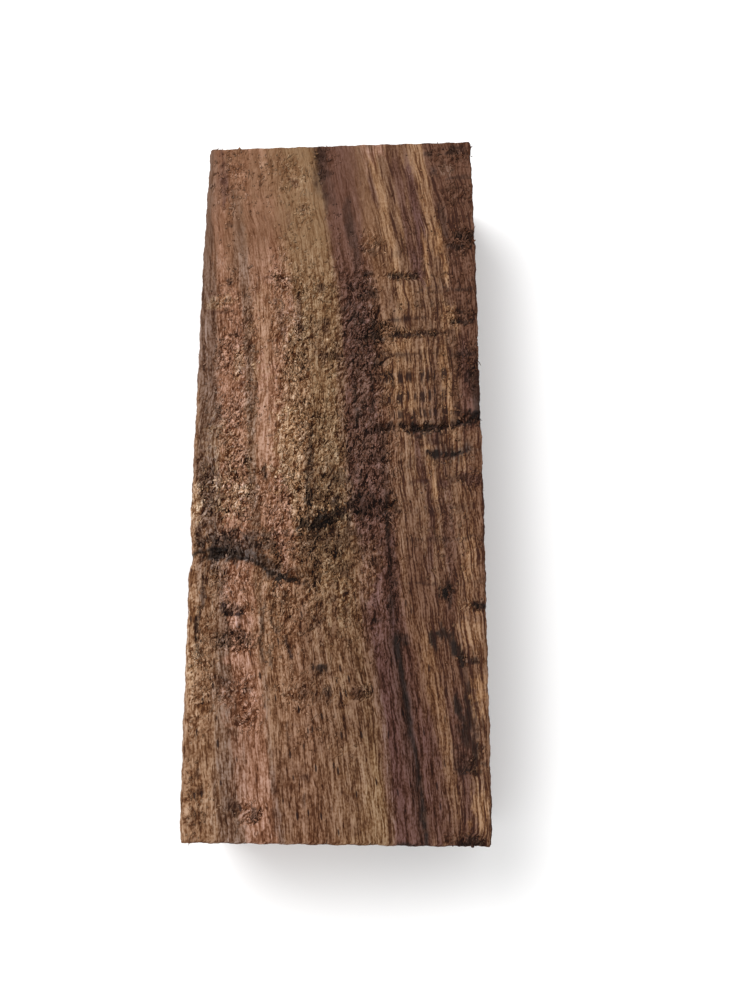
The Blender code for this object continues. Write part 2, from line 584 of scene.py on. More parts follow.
@dataclass(frozen=True)
class TornPatch:
    """Where the saw tore the figure into scales: an ellipse, in millimetres."""

    x: float
    y: float
    half_across: float
    half_along: float
    strength: float


@dataclass(frozen=True)
class Row:
    """A torn row across the figure: dark dashes between the fibres, in millimetres."""

    y: float  # where it crosses x = 15
    first_x: float
    last_x: float
    half_along: float
    strength: float
    rise: float = 0.03


T = Tone

# The growth bands from left to right: place across the grain at the block's middle, and colour
BANDS: tuple[tuple[float, Tone], ...] = (
    (-34, T.BROWN), (-25.5, T.BROWN), (-23, T.GREY), (-21.5, T.GREY), (-20, T.ROSE),
    (-16.5, T.ROSE), (-15.2, T.BROWN), (-13.5, T.ROSE), (-10, T.ROSE), (-8, T.TAN),
    (-4, T.OLIVE), (0.2, T.OLIVE), (2.4, T.PLUM), (7, T.PLUM), (9.5, T.BROWN),
    (12, T.HONEY), (16, T.HONEY), (20, T.HONEY), (23, T.UMBER), (36, T.UMBER),
)

STREAKS: tuple[Streak, ...] = tuple(Streak(*row) for row in (
    # far third
    (T.BROWN, ((64, -17), (52, -16), (36, -14)), 10, 0.6, 1, 0.4, 0, 6),
    (T.UMBER, ((64, -25), (40, -25), (24, -24.6), (4, -24.2)), 2.2, 0.8, 0.8, 0.5, 0, 6),
    (T.UMBER, ((48, -15.6), (36, -15.2)), 1.8, 0.3, 0.8, 0.5, 0.2, 3),
    (T.ROSE, ((64, -23.4), (50, -22.6), (40, -21.6), (29, -20.4)), 1.4, 0.6, 0.6),
    (T.WINE, ((61.5, -22.4), (57, -22.1), (52.5, -21.6)), 0.6, 0.8, 0.5, 0.6, 0.3),
    (T.GREY, ((54, -19.4), (45, -18.7), (37, -18.3)), 1.1, 0.55),
    (T.ROSE, ((54, -15.2), (45, -14.6), (36, -13.8)), 3.4, 0.5, 0.8, 0.4, 0, 4),
    (T.OLIVE, ((64, -8.4), (55, -7.4), (45, -6), (36, -4.4), (26, -3.2)), 3.6, 0.75, 0.9, 0.35, 0, 5),
    (T.DEEP, ((64, -3.6), (57, -3.2), (52, -1.9)), 1.5, 0.7, 0.7, 0.5, 0.25),
    (T.PLUM, ((64, 0.4), (55, 1), (45, 2), (35, 2.9), (25, 3.8)), 2.5, 0.6, 0.5, 0.4, 0, 4),
    (T.DEEP, ((50, 1.8), (46, 2.5), (42, 3.2), (36, 3.8)), 0.8, 0.7, 0.5, 0.7),
    (T.SALMON, ((64, 6.6), (60, 7.2)), 1.8, 0.6, 0.5, 0.5),
    (T.BROWN, ((62, 4.5), (52, 5.3), (42, 6.3)), 1.2, 0.5),
    (T.GOLD, ((60, 6.2), (53, 7.8), (47, 9), (40, 10.2), (36, 10.6)), 0.9, 0.6, 0.25, 0.6, 0.2),
    (T.WINE, ((59, 5.3), (55, 6.2), (50, 7.2)), 0.35, 0.7, 0.2),
    (T.GOLD, ((64, 8.8), (57, 10.4), (50, 11.4), (44, 12)), 0.4, 0.4, 0.25),
    (T.WINE, ((58, 10.9), (50, 12.4), (42, 13.4)), 0.8, 0.9, 0.25, 0.6, 0.1),
    (T.GOLD, ((64, 11.4), (57, 12.6), (52, 13.2)), 0.35, 0.6, 0.2),
    (T.UMBER, ((64, 11.6), (55, 13.2), (48, 14.2), (40, 15.2)), 2.6, 0.6, 0.6, 0.4, 0, 4),
    (T.WINE, ((58, 13.4), (54, 14), (48, 14.9), (42, 15.5)), 0.85, 0.92, 0.3, 0.6, 0.1),
    (T.GOLD, ((64, 14.4), (56, 16), (50, 17.2), (44, 18.2), (39, 18.9)), 1.2, 0.65, 0.4, 0.6, 0.2),
    (T.GOLD, ((64, 15.4), (56, 16.8), (50, 18), (43, 19.2)), 0.3, 0.6, 0.25, 0.6, 0.3),
    (T.WINE, ((62, 16.4), (54, 17.8), (46, 19.4)), 0.35, 0.6, 0.25, 0.6, 0.3),
    (T.UMBER, ((64, 20), (56, 21), (46, 22.4), (38, 23), (30, 24)), 3.6, 0.62, 0.8, 0.3, 0, 4),
    (T.DEEP, ((50, 19.2), (44, 20)), 0.45, 0.6, 0.3),
    # far middle
    (T.GREY, ((64, -25.4), (46, -25.2), (30, -24.7), (14, -24.3), (0, -23.4), (-12, -22.8)),
     1.5, 0.7, 0.4, 0.5),
    (T.GREY, ((46, -18.2), (30, -16.6), (15, -15.3), (0, -14.5), (-10, -13.8)), 0.75, 0.75, 0.4, 0.6),
    (T.SALMON, ((44, -12.4), (38, -11.6), (34, -10.8)), 1.2, 0.4),
    (T.SALMON, ((34, -9.2), (30, -8.8), (26, -8.4)), 0.8, 0.7, 0.3),
    (T.UMBER, ((31, -15.9), (25.5, -15.5)), 0.35, 0.8, 0.2),
    (T.WINE, ((31, -11), (26, -10.2)), 0.6, 0.65, 0.3),
    (T.UMBER, ((32, -7.2), (27.5, -7)), 0.3, 0.7, 0.2),
    (T.SALMON, ((26, -17.8), (18, -17.4), (10, -17.3)), 0.8, 0.45, 0.5, 0.6, 0.3),
    (T.PALE, ((28, -8.2), (22, -7.6), (16, -7.4)), 0.5, 0.5, 0.5, 0.6, 0.5),
    (T.DEEP, ((34, 3.6), (24, 4.2), (14, 4.4), (8, 4.8)), 2.3, 0.1, 0.8, 0.6, 0.5, 4),
    (T.BARK, ((15, 3.2), (10.5, 3.6)), 0.35, 0.7, 0.3),
    (T.BARK, ((17, 6.2), (11, 6.4)), 0.3, 0.55, 0.3),
    (T.GOLD, ((44, 15.8), (40, 16.2), (36, 16.6)), 0.4, 0.8, 0.2),
    (T.GOLD, ((42, 18.8), (37, 19.8)), 0.45, 0.7, 0.2),
    (T.WINE, ((41, 14.2), (36.8, 14.9)), 1.1, 0.8, 0.4),
    (T.GOLD, ((33, 12), (28.4, 12.2)), 1.6, 0.5, 0.6, 0.6, 0.2),
    (T.GOLD, ((30, 20.2), (25.4, 20.4)), 1.2, 0.6, 0.6, 0.6, 0.2),
    (T.GOLD, ((22, 18.9), (12, 19.6), (9.6, 19.8)), 0.9, 0.6, 0.4, 0.6, 0.3),
    (T.GOLD, ((24, 11.6), (16, 12), (8, 12.8)), 2, 0.5, 0.6, 0.8, 0.4),
    (T.GOLD, ((24, 15.6), (14, 16.2), (8, 16.4)), 0.5, 0.5, 0.3, 0.6, 0.3),
    (T.TAN, ((5, 12.6), (-6, 13.4)), 1.6, 0.35, 0.6, 0.8, 0.3),
    (T.WINE, ((24, 22.8), (12, 23.2)), 0.7, 0.6, 0.3, 0.6, 0.2),
    (T.BARK, ((14, 24.6), (10, 25)), 0.7, 0.75, 0.2),
    # middle
    (T.ROSE, ((16, -12), (6, -11.8), (-2, -11.4)), 1.9, 0.75, 0.5),
    (T.TAN, ((18, -7.2), (6, -7), (-6, -6.8)), 2, 0.55, 0.8),
    (T.DEEP, ((4, -5), (0, -4.8), (-4, -4.5), (-8, -4.6)), 0.75, 0.75, 0.7, 0.6, 0.4),
    (T.DEEP, ((6, 8), (0, 8.4), (-7, 8.8)), 0.7, 0.6, 0.5, 0.6, 0.3),
    (T.PLUM, ((10, 6.4), (-4, 7.4), (-16, 8)), 3.4, 0.35, 0.8, 0.4, 0, 4),
    (T.WINE, ((5.4, 14.1), (1, 14.5), (-2, 15)), 0.5, 0.75, 0.3),
    (T.WINE, ((4.6, 17.2), (0, 18.6), (-2, 18.9)), 0.5, 0.7, 0.3),
    (T.GOLD, ((5, 15.6), (0, 16.4), (-6, 17.2)), 0.55, 0.55, 0.3),
    (T.GOLD, ((5.6, 20.6), (1, 21.4)), 1, 0.5, 0.4),
    (T.TAN, ((14, -25.3), (0, -25.3), (-12, -25.2), (-22, -24.9), (-42, -24.8), (-64, -24.5)), 1.2, 0.7, 0.5),
    (T.GREY, ((16, -22.9), (5, -22.9), (-6, -22.4)), 1.3, 0.7, 0.4),
    (T.WINE, ((-4, 16), (-10, 16.3), (-17, 16)), 0.6, 0.7, 0.3),
    (T.WINE, ((-5, 18.9), (-14, 19.5), (-21, 19.7), (-29, 19.2)), 1, 0.65, 0.4),
    (T.HONEY, ((-2, 12.6), (-12, 13.2), (-24, 13.8)), 2.4, 0.6, 0.6),
    (T.BROWN, ((6, 22.4), (-10, 22.6), (-28, 23.6)), 2.8, 0.55, 0.7, 0.6, 0.2),
    (T.GOLD, ((-14, 22.4), (-24, 22.8), (-33, 23.4)), 1.7, 0.5, 0.5),
    # near third, left half, and three short lines in the middle
    (T.TAN, ((-18, -22.6), (-36, -22.4), (-50, -22.2), (-64, -21.5)), 2.6, 0.65, 0.8, 0.4, 0, 4),
    (T.SALMON, ((-22, -16), (-34, -15), (-45, -15), (-55, -13.6), (-64, -12.6)), 3, 0.5, 1.3, 0.7, 0.4, 4),
    (T.GREY, ((-36, -19.4), (-46, -18.7), (-54, -18), (-61, -17.2)), 1.2, 0.65, 0.9, 0.6, 0.3),
    (T.SLATE, ((-22, -12.7), (-30, -12.2), (-38, -11.5), (-46, -10.8), (-54, -9.9), (-64, -8.4)),
     0.55, 0.6, 0.35, 0.6, 0.35),
    (T.BROWN, ((-22, -8.6), (-36, -7), (-50, -5.4), (-64, -3.4)), 4.2, 0.75, 1, 0.3, 0, 5),
    (T.BROWN, ((-30, -1), (-45, 1), (-64, 2.6)), 4.2, 0.5, 1, 0.3, 0, 5),
    (T.UMBER, ((-28, -2.6), (-40, -2), (-52, -0.6), (-64, 0.6)), 4, 0.34, 1.2, 0.6, 0.3, 5),
    (T.UMBER, ((-26, 3.6), (-40, 5), (-52, 7.6)), 2.2, 0.45, 0.8, 0.4, 0, 5),
    (T.TAN, ((-24, -11.4), (-34, -10.4), (-42, -9.6)), 3, 0.3, 0.8, 0.5, 0, 5),
    (T.UMBER, ((-22, -3.2), (-32, -2.6)), 3.6, 0.3, 0.8, 0.5, 0, 4),
    (T.WINE_DARK, ((-24.2, -11.9), (-26, -12.1), (-29.6, -12.5)), 0.36, 0.95, 0.08, 0.5, 0, 0.6),
    (T.WINE_DARK, ((-24.8, -10.6), (-26.6, -10.9), (-27.6, -10.6), (-29.2, -9.8)),
     0.36, 0.95, 0.08, 0.5, 0, 0.6),
    (T.WINE_DARK, ((-22.4, -8.7), (-25.6, -8.8)), 0.36, 0.95, 0.08, 0.5, 0, 0.6),
    (T.WINE_DARK, ((-30.6, -12.7), (-34.6, -11.8)), 0.36, 0.95, 0.08, 0.5, 0, 0.8),
    (T.WINE_DARK, ((-31, -11), (-34.4, -10.7)), 0.36, 0.95, 0.08, 0.5, 0, 0.8),
    (T.WINE_DARK, ((-30.4, -8.4), (-33.4, -7.3)), 0.36, 0.95, 0.08, 0.5, 0, 0.8),
    (T.DEEP, ((-20, -22.5), (-24.8, -22.6), (-27.6, -23.5), (-33.6, -23)), 0.4, 0.85, 0.2),
    (T.WINE_DARK, ((-26, -16.2), (-28.4, -16.2)), 0.36, 0.95, 0.08, 0.5, 0, 0.5),
    (T.WINE_DARK, ((-24.6, -19), (-26.4, -18.9)), 0.36, 0.95, 0.08, 0.5, 0, 0.5),
    (T.DEEP, ((3.4, -9.6), (-1.2, -9), (-5, -8.4)), 0.24, 0.75, 0.12, 0.5, 0.2, 0.8),
    (T.DEEP, ((1.6, -16), (-0.4, -15.2)), 0.3, 0.85, 0.08, 0.5, 0, 0.6),
    (T.DEEP, ((-0.6, -12.6), (-2.4, -12.2)), 0.35, 0.85, 0.08, 0.5, 0, 0.6),
    # near third, right half
    (T.UMBER, ((-20, 17), (-36, 19), (-50, 20), (-64, 21)), 8, 0.7, 1, 0.25, 0, 6),
    (T.BARK, ((-7.6, 8.6), (-12.6, 8.9), (-16, 9.3), (-20, 9.5), (-25, 9.6), (-32.5, 10.2)),
     0.42, 0.96, 0.12, 0.5, 0.15),
    (T.DEEP, ((-12, 9.2), (-20, 9.8), (-31, 10.6)), 0.8, 0.3, 0.3),
    (T.WINE, ((-22, 7.6), (-36, 10.6), (-48, 12.4), (-64, 14.6)), 3.8, 0.62, 0.9, 0.3, 0, 5),
    (T.WINE, ((-32, 7.3), (-40, 8.6), (-48, 9.8), (-56, 10.7), (-64, 11.3)), 0.95, 0.8, 0.4),
    (T.DEEP, ((-31, 9.9), (-38, 11), (-45, 12.1), (-52, 13.1), (-58, 13.9), (-64, 14.7)),
     1.2, 0.5, 0.5, 0.6, 0.2),
    (T.BARK, ((-31, 10.3), (-38, 11.5), (-45, 12.6), (-52, 13.6), (-58, 14.4), (-64, 15.2)),
     0.36, 0.92, 0.25, 0.6, 0.15),
    (T.GREY, ((-33, 6.2), (-42, 7.8), (-50, 8.8), (-57, 9.5)), 0.35, 0.4, 0.2, 0.6, 0.3),
    (T.GOLD, ((-30, 15.2), (-38, 16.4), (-45, 17.8), (-52, 18.7), (-60, 19.4)), 1.3, 0.42, 0.6, 0.7, 0.4),
    (T.BROWN, ((-27, 23.8), (-36, 24.4), (-50, 24.8), (-64, 24.6)), 1.6, 0.55, 0.6, 0.6, 0.3),
    (T.WINE, ((-40, 19.8), (-48, 20.8), (-58, 21.6), (-64, 22)), 1.4, 0.6, 0.5),
    (T.WINE, ((-46, 15.4), (-54, 16.6), (-64, 18.6)), 1.8, 0.65, 0.5),
    (T.HONEY, ((-48, 23), (-56, 23.6), (-64, 24.2)), 0.9, 0.6, 0.4),
    (T.DEEP, ((-36, 21.4), (-42, 22.6), (-50, 22.4)), 0.9, 0.6, 0.5, 0.6, 0.5),
    (T.BARK, ((-40.5, 21.8), (-44, 22.5)), 0.45, 0.85, 0.3),
))

SMUDGES: tuple[Smudge, ...] = tuple(Smudge(*row) for row in (
    # far third
    (T.BROWN, -14.6, 58, 5.6, 6, 0.4, 0.5),
    (T.RUST, -21, 54.2, 0.8, 0.9, 0.6),
    (T.RUST, -20.6, 47.2, 0.9, 0.6, 0.55),
    (T.UMBER, -8.4, 55.6, 1.5, 1, 0.6),
    (T.UMBER, -6.4, 50.2, 0.9, 1.4, 0.5),
    (T.UMBER, -9.4, 47.5, 0.5, 2.4, 0.5),
    (T.DEEP, -3.4, 61, 1.6, 1.6, 0.6),
    (T.DEEP, -2.6, 57.4, 1.8, 1.2, 0.55),
    (T.DEEP, -2.6, 52.6, 0.9, 1, 0.5),
    (T.DEEP, 2.2, 46.2, 0.9, 2, 0.55),
    (T.DEEP, 18.2, 57.6, 0.9, 1.4, 0.7, 0.4),
    (T.GREY, 20.6, 57.4, 1.8, 1.6, 0.4, 0.4),
    (T.BARK, 22.2, 61.8, 2.6, 1.1, 0.6, 0.7),
    (T.BARK, 17, 61, 0.8, 0.9, 0.55, 0.6),
    (T.BARK, 22.4, 56, 2.4, 0.5, 0.5, 1),
    (T.RUST, 21.6, 53.4, 2.8, 0.6, 0.65, 0.7),
    (T.RUST, 21.6, 50.6, 2.6, 0.4, 0.6, 0.7),
    (T.BARK, 22.8, 43.8, 2.8, 0.6, 0.7, 0.7),
    (T.BARK, 22.6, 41.6, 3, 0.7, 0.65, 0.7),
    # far middle, with some broad shading of the middle and the near third
    (T.DEEP, -20, 35.6, 0.7, 1, 0.65),
    (T.PALE, -21.6, 31.6, 2.6, 1.3, 0.3, 0.7),
    (T.UMBER, -21.2, 29.6, 2.2, 0.45, 0.75, 0.6),
    (T.UMBER, -22.8, 33.2, 1.4, 0.4, 0.6, 0.6),
    (T.UMBER, -12.6, 36.2, 2.4, 0.6, 0.6, 0.7),
    (T.RUST, -3.2, 34, 1, 1, 0.7),
    (T.RUST, -1, 34.2, 0.5, 0.7, 0.6),
    (T.RUST, -6.6, 26.2, 0.9, 0.7, 0.75),
    (T.RUST, -2, 27.4, 1, 0.9, 0.7),
    (T.RUST, -2, 25.4, 0.7, 0.6, 0.7),
    (T.PALE, -1.9, 23.6, 1.1, 0.35, 0.8, 0.3),
    (T.RUST, -2.2, 20.6, 2.2, 1, 0.7, 0.6),
    (T.RUST, 0.4, 20.2, 0.9, 0.8, 0.6, 0.6),
    (T.RUST, -6.2, 18.4, 0.8, 0.5, 0.7, 0.6),
    (T.RUST, -18.9, 25.1, 0.9, 0.4, 0.75, 0.5),
    (T.PALE, -17.8, 20, 0.8, 3.6, 0.4, 0.8),
    (T.PALE, -14.9, 19, 0.6, 1, 0.7, 0.4),
    (T.DEEP, 5, 22.5, 3.2, 4.2, 0.12, 1.2),
    (T.UMBER, -3, 22.5, 2.8, 4.6, 0.35, 0.9),
    (T.WINE, 17, 10, 2, 8.4, 0.35, 0.8),
    (T.UMBER, 20.6, -15, 2.2, 5, 0.35, 0.8),
    (T.UMBER, 12.8, -12, 2, 7, 0.35, 0.8),
    (T.UMBER, 20.6, -61, 2.4, 3.6, 0.7, 0.8),
    (T.TAN, 5.4, -17, 2.8, 4, 0.3, 0.8),
    (T.UMBER, 9, 31, 2.2, 4.4, 0.35, 0.8),
    (T.BARK, 6.4, 24.4, 2.9, 1, 0.62, 1.1),
    (T.BARK, 3.2, 29.4, 1.6, 1.8, 0.5, 1.3),
    (T.GREY, 4.6, 10, 2.4, 16, 0.25, 1),
    (T.BARK, 5.4, 10.4, 1.8, 1.6, 0.5, 1.3),
    (T.BARK, 7, 1, 1.8, 2, 0.15, 1.3),
    (T.BARK, 2, -2.4, 2.6, 1.8, 0.35, 1.3),
    (T.BARK, 7.4, 26.4, 1.6, 0.6, 0.6, 0.8),
    (T.BARK, 4.6, 27, 1, 0.6, 0.6, 0.8),
    (T.BARK, 6.6, 32.4, 1.2, 1.1, 0.55, 0.8),
    (T.BARK, 4.2, 34.4, 0.9, 0.7, 0.5, 0.8),
    (T.BARK, 2.2, 33.8, 0.7, 0.7, 0.5, 0.8),
    (T.BARK, 5.6, 36.6, 0.9, 0.8, 0.5, 0.8),
    (T.DEEP, 6.4, 40.8, 1.8, 1.2, 0.5, 0.8),
    (T.BARK, 7.6, 18, 1, 1.6, 0.5, 0.8),
    (T.BARK, 2.6, 21, 0.8, 1.2, 0.5, 0.8),
    (T.BARK, 12, 36, 4.4, 0.5, 0.6, 1.1, 2),
    (T.RUST, 12.4, 27.4, 3.2, 0.3, 0.7, 0.6, 2),
    (T.BARK, 14, 24.4, 4.4, 0.55, 0.55, 1.2, 3),
    (T.RUST, 19.6, 24.8, 2, 0.4, 0.6, 0.8),
    (T.RUST, 11.8, 20.6, 3.4, 0.35, 0.6, 0.8),
    (T.RUST, 17.6, 32.6, 2, 0.4, 0.6, 0.8),
    (T.BARK, 22.8, 33, 2.6, 0.45, 0.6, 0.8, 4),
    (T.BARK, 22.2, 28.6, 2.8, 0.4, 0.65, 0.8),
    (T.BARK, 22.8, 26.4, 2.4, 0.5, 0.65, 0.8),
    (T.BARK, 22.8, 20.2, 2.4, 0.5, 0.6, 0.8),
    (T.BARK, 24.2, 16.6, 1.2, 1.8, 0.55, 0.8),
    (T.DEEP, 24.8, 12, 0.8, 3.4, 0.7, 0.4),
    # middle, with some broad shading of the far third
    (T.SLATE, 19.8, 1.9, 4.2, 1.5, 0.6, 0.5, 4, 1.2),
    (T.BARK, 17.2, 1.6, 1.6, 0.9, 0.97, 0.4, 0, 1),
    (T.BARK, 20.4, 1.9, 2.8, 0.65, 0.97, 0.4, 4, 0.6),
    (T.DEEP, 22.8, 3, 1, 1.4, 0.5, 0.6, 0, 1.5),
    (T.WINE, 14.8, -3, 1.7, 0.5, 0.7, 0.6),
    (T.WINE, 18.3, -3.6, 1, 0.7, 0.7, 0.6),
    (T.WINE, 23.4, -2.7, 2.2, 1.4, 0.65, 0.6),
    (T.DEEP, 16.6, -8.4, 0.5, 1, 0.7, 0.4),
    (T.DEEP, 0.8, -12.4, 3, 3.4, 0.35, 1),
    (T.RUST, -1.5, -14, 7.5, 7.5, 0.3, 0.9),
    (T.RUST, -2.4, -11.6, 4.6, 4.2, 0.45, 1),
    (T.RUST, -0.6, -4.6, 4.2, 5.2, 0.42, 1.3),
    (T.BARK, -4.2, -10.9, 2.3, 1.4, 0.8, 1.2),
    (T.BARK, 0.4, -8.6, 2.8, 1.6, 0.6, 1.4, 10),
    (T.DEEP, 5.4, -6.8, 4, 2.4, 0.7, 1.3, 8),
    (T.BARK, -4.8, -6.4, 0.8, 1.2, 0.6, 0.8),
    (T.BARK, -4.9, 0.3, 0.8, 0.7, 0.65, 0.8),
    (T.PALE, -13, 3, 9.5, 15, 0.08, 0.8),
    (T.BROWN, -13, 50, 5, 12, 0.3, 0.8),
    (T.UMBER, 3.4, 56, 2.6, 7, 0.4, 0.6, 8, 1.5),
    (T.PALE, -18.2, -5.2, 3.6, 4.6, 0.45, 0.9),
    (T.PALE, -8.4, 3, 2.8, 9, 0.55, 0.9),
    (T.PALE, -20.6, 4, 2.4, 5, 0.22, 0.9),
    (T.RUST, -16.6, -8.4, 1, 1, 0.55, 0.7),
    (T.PALE, -24.4, -6.8, 1.3, 4.2, 0.6, 0.6),
    (T.RUST, -23.6, -11.6, 0.8, 0.9, 0.75, 0.5),
    (T.PALE, -8.2, 10.2, 2.2, 1, 0.5, 0.8),
    (T.RUST, -18.4, -12.4, 1.6, 1, 0.6, 0.8),
    (T.RUST, -14.6, -12.4, 1.6, 0.7, 0.5, 0.8),
    (T.RUST, -9, -12.4, 2.4, 0.5, 0.65, 0.8, -8),
    (T.SLATE, -15.8, -14.6, 6, 2.4, 0.7, 0.8),
    (T.DEEP, -16.6, -14, 6.4, 2.6, 0.35, 1),
    (T.BARK, -20.9, -16, 2.5, 1.2, 0.88, 0.6),
    (T.BARK, -17.4, -16, 1.8, 0.9, 0.55, 0.8),
    (T.RUST, -3.2, -19.6, 1.2, 2.2, 0.55, 0.8),
    (T.RUST, 1.4, -19.4, 1.1, 1.6, 0.6, 0.8),
    (T.RUST, 1.6, -22.4, 0.8, 0.8, 0.65, 0.6),
    (T.RUST, 1.8, -25.4, 0.7, 0.6, 0.6, 0.6),
    (T.RUST, -3.1, -28, 0.9, 1.4, 0.5, 0.8),
    (T.RUST, 6.4, -17.4, 1.1, 1, 0.7, 0.6),
    (T.DEEP, 7.2, -27.4, 1, 0.5, 0.7, 0.6),
    # near third, and at the end broad shading, two patches of it further off
    (T.GOLD, 22.8, -29, 2, 3.4, 0.4, 0.8, 0, 1.5),
    (T.GOLD, 23.8, -39.6, 1.5, 3, 0.6, 0.8, 0, 1.5),
    (T.GOLD, 23.4, -57.6, 1.7, 4.2, 0.55, 0.8, 0, 1.5),
    (T.BARK, 20.4, -41.8, 0.9, 2.4, 0.9, 0.35, 8, 1),
    (T.BARK, 21.4, -46.2, 1, 3.2, 0.9, 0.35, 8, 1),
    (T.BARK, 22.9, -48.6, 0.75, 2.8, 0.85, 0.35, 8, 1),
    (T.BARK, 18.7, -22.2, 1.6, 1.1, 0.97, 0.4, 0, 0.8),
    (T.BARK, 19.4, -24.6, 0.4, 1.4, 0.7, 0.4, 0, 0.8),
    (T.BARK, 24.3, -24.8, 1.9, 0.8, 0.95, 0.4, -10),
    (T.BARK, 16.4, -31, 0.8, 2.2, 0.92, 0.3, 0, 1),
    (T.BARK, 18.1, -29.8, 1, 2, 0.85, 0.5, 0, 1.6),
    (T.BARK, 19.7, -31.4, 0.9, 3, 0.95, 0.3, 12, 1),
    (T.BARK, 20.9, -33, 0.7, 1.8, 0.8, 0.4, 12, 1),
    (T.BARK, 22.5, -34.2, 1.7, 0.8, 0.75, 0.7),
    (T.BARK, 11.8, -30.8, 0.8, 0.9, 0.6, 0.6),
    (T.DEEP, 21.8, -48, 2.4, 4.4, 0.6, 1, 0, 2.5),
    (T.BARK, 21.8, -43, 0.5, 1.8, 0.7, 0.5, 8, 1),
    (T.BARK, 21, -51.8, 1.3, 0.5, 0.7, 0.7),
    (T.BARK, 24.4, -50.6, 0.7, 0.5, 0.7, 0.6),
    (T.BARK, 22, -62.9, 2.4, 0.7, 0.7, 0.7),
    (T.BARK, 12, -63.3, 1.8, 0.4, 0.7, 0.6),
    (T.SALMON, -15.2, -27.4, 3.2, 1.2, 0.6, 0.4),
    (T.SALMON, -16.6, -33.9, 3.2, 1, 0.6, 0.4),
    (T.RUST, -17.2, -25.4, 2.6, 0.6, 0.6, 0.8, 4),
    (T.RUST, -16.6, -30.4, 3.3, 1.5, 0.62, 0.9),
    (T.BARK, -17.6, -31.4, 1.6, 0.5, 0.5, 0.9),
    (T.SLATE, -14.6, -39, 1.1, 1, 0.6, 0.5),
    (T.WINE, -18.4, -38, 1.8, 1.8, 0.3, 0.7),
    (T.UMBER, -14.4, -43.4, 0.9, 1.2, 0.5, 0.8),
    (T.RUST, -12.8, -58.8, 0.9, 1.5, 0.8, 0.5),
    (T.RUST, -16.8, -57.6, 1.4, 1.1, 0.6, 0.7),
    (T.DEEP, -22.4, -52.4, 0.4, 1, 0.75, 0.5),
    (T.RUST, -21.9, -55.4, 0.8, 0.9, 0.65, 0.6),
    (T.RUST, -22.6, -59.6, 2.2, 1.8, 0.25, 0.8),
    (T.RUST, -4.8, -53, 1, 0.5, 0.6, 0.7),
    (T.DEEP, -4.8, -56.4, 0.35, 1.2, 0.7, 0.4),
    (T.DEEP, -7.9, -45, 0.3, 1.2, 0.7, 0.4),
    (T.BARK, -2.2, -35.3, 0.95, 0.9, 0.95, 0.5),
    (T.RUST, -1.8, -36, 2, 1.6, 0.25, 0.8),
    (T.BARK, -1.1, -39.1, 0.8, 1, 0.75, 0.5),
    (T.RUST, -1.4, -40, 2.2, 1.2, 0.3, 0.8),
    (T.RUST, 4.2, -39.4, 1.4, 0.8, 0.7, 0.7),
    (T.RUST, -5.4, -39.6, 1, 0.8, 0.45, 0.8),
    (T.UMBER, -0.6, -44, 4.6, 6, 0.3, 0.8),
    (T.UMBER, 3.6, -46, 2.6, 15, 0.34, 0.8),
    (T.UMBER, 17, -56, 2.6, 9, 0.3, 0.8),
    (T.BROWN, -24, -52, 2.4, 11, 0.4, 0.8),
    (T.BROWN, -19.6, -46, 2, 8, 0.4, 0.8),
    (T.UMBER, -7.4, -54, 3.2, 10, 0.34, 0.8),
    (T.UMBER, -1, -24, 3.4, 5, 0.3, 0.8),
    (T.TAN, -8.4, -23.6, 2.6, 4.4, 0.4, 0.8),
    (T.TAN, 4.4, -21, 2.2, 4, 0.3, 0.8),
    (T.TAN, -12, -26, 3, 12, 0.35, 0.8),
    (T.ROSE, -19.2, 58, 2, 5, 0.5, 0.6),
    (T.TAN, -12.6, 26, 3.2, 10, 0.45, 0.8),
    (T.PALE, -24.6, -33, 1.4, 7, 0.3, 0.8),
    (T.SALMON, -15.4, -40.6, 3, 4.4, 0.35, 0.8),
))

SEAMS: tuple[Seam, ...] = tuple(Seam(*row) for row in (
    (T.WINE_DARK, ((-18.9, -26.3), (-17.6, -26.4), (-16.1, -26.1)), 0.4, 0.95, 0.3),
    (T.SLATE, ((-19, -15.6), (-15, -15.7), (-12.4, -17), (-10.6, -18.8), (-9.6, -19.8)), 1.5, 0.75),
    (T.BARK, ((-19, -16.4), (-15, -16.4), (-12.6, -17.8), (-10.8, -19.4)), 0.4, 0.75),
    (T.BARK, ((-26.5, -17.5), (-25.4, -15.9), (-24.2, -15.1), (-22, -14.9), (-19, -14.8)), 0.3, 0.9, 0.4),
    (T.BARK, ((-10, -20.2), (-8, -20.3), (-6.4, -20.8)), 0.45, 0.9, 0.6),
    (T.RUST, ((-6.4, -20.8), (-4.8, -21.2), (-2.6, -20.6)), 0.25, 0.7),
    (T.GREY, ((-25.6, -17.6), (-25.7, -21), (-25.7, -26)), 0.5, 0.7, 0.3),
    (T.DEEP, ((6.2, 6.6), (9, 6.7), (12, 7), (14.5, 6.9)), 0.85, 0.85, 1.3),
    (T.BARK, ((13.6, 6.5), (16, 6.4), (18, 6.7)), 1.2, 0.9, 1.1),
    (T.DEEP, ((18, 7), (20.5, 7.4), (23, 8.2)), 0.9, 0.85, 1.3),
    (T.BARK, ((22.6, 7.8), (24.6, 8.6), (26.5, 9.6)), 1, 0.9, 1),
    (T.RUST, ((13, -13.6), (17, -13.7), (20, -13.3), (25, -12.8)), 0.35, 0.45, 0.9),
    (T.RUST, ((14, -21), (20, -21.4), (25, -20.8)), 0.3, 0.35, 0.9),
))

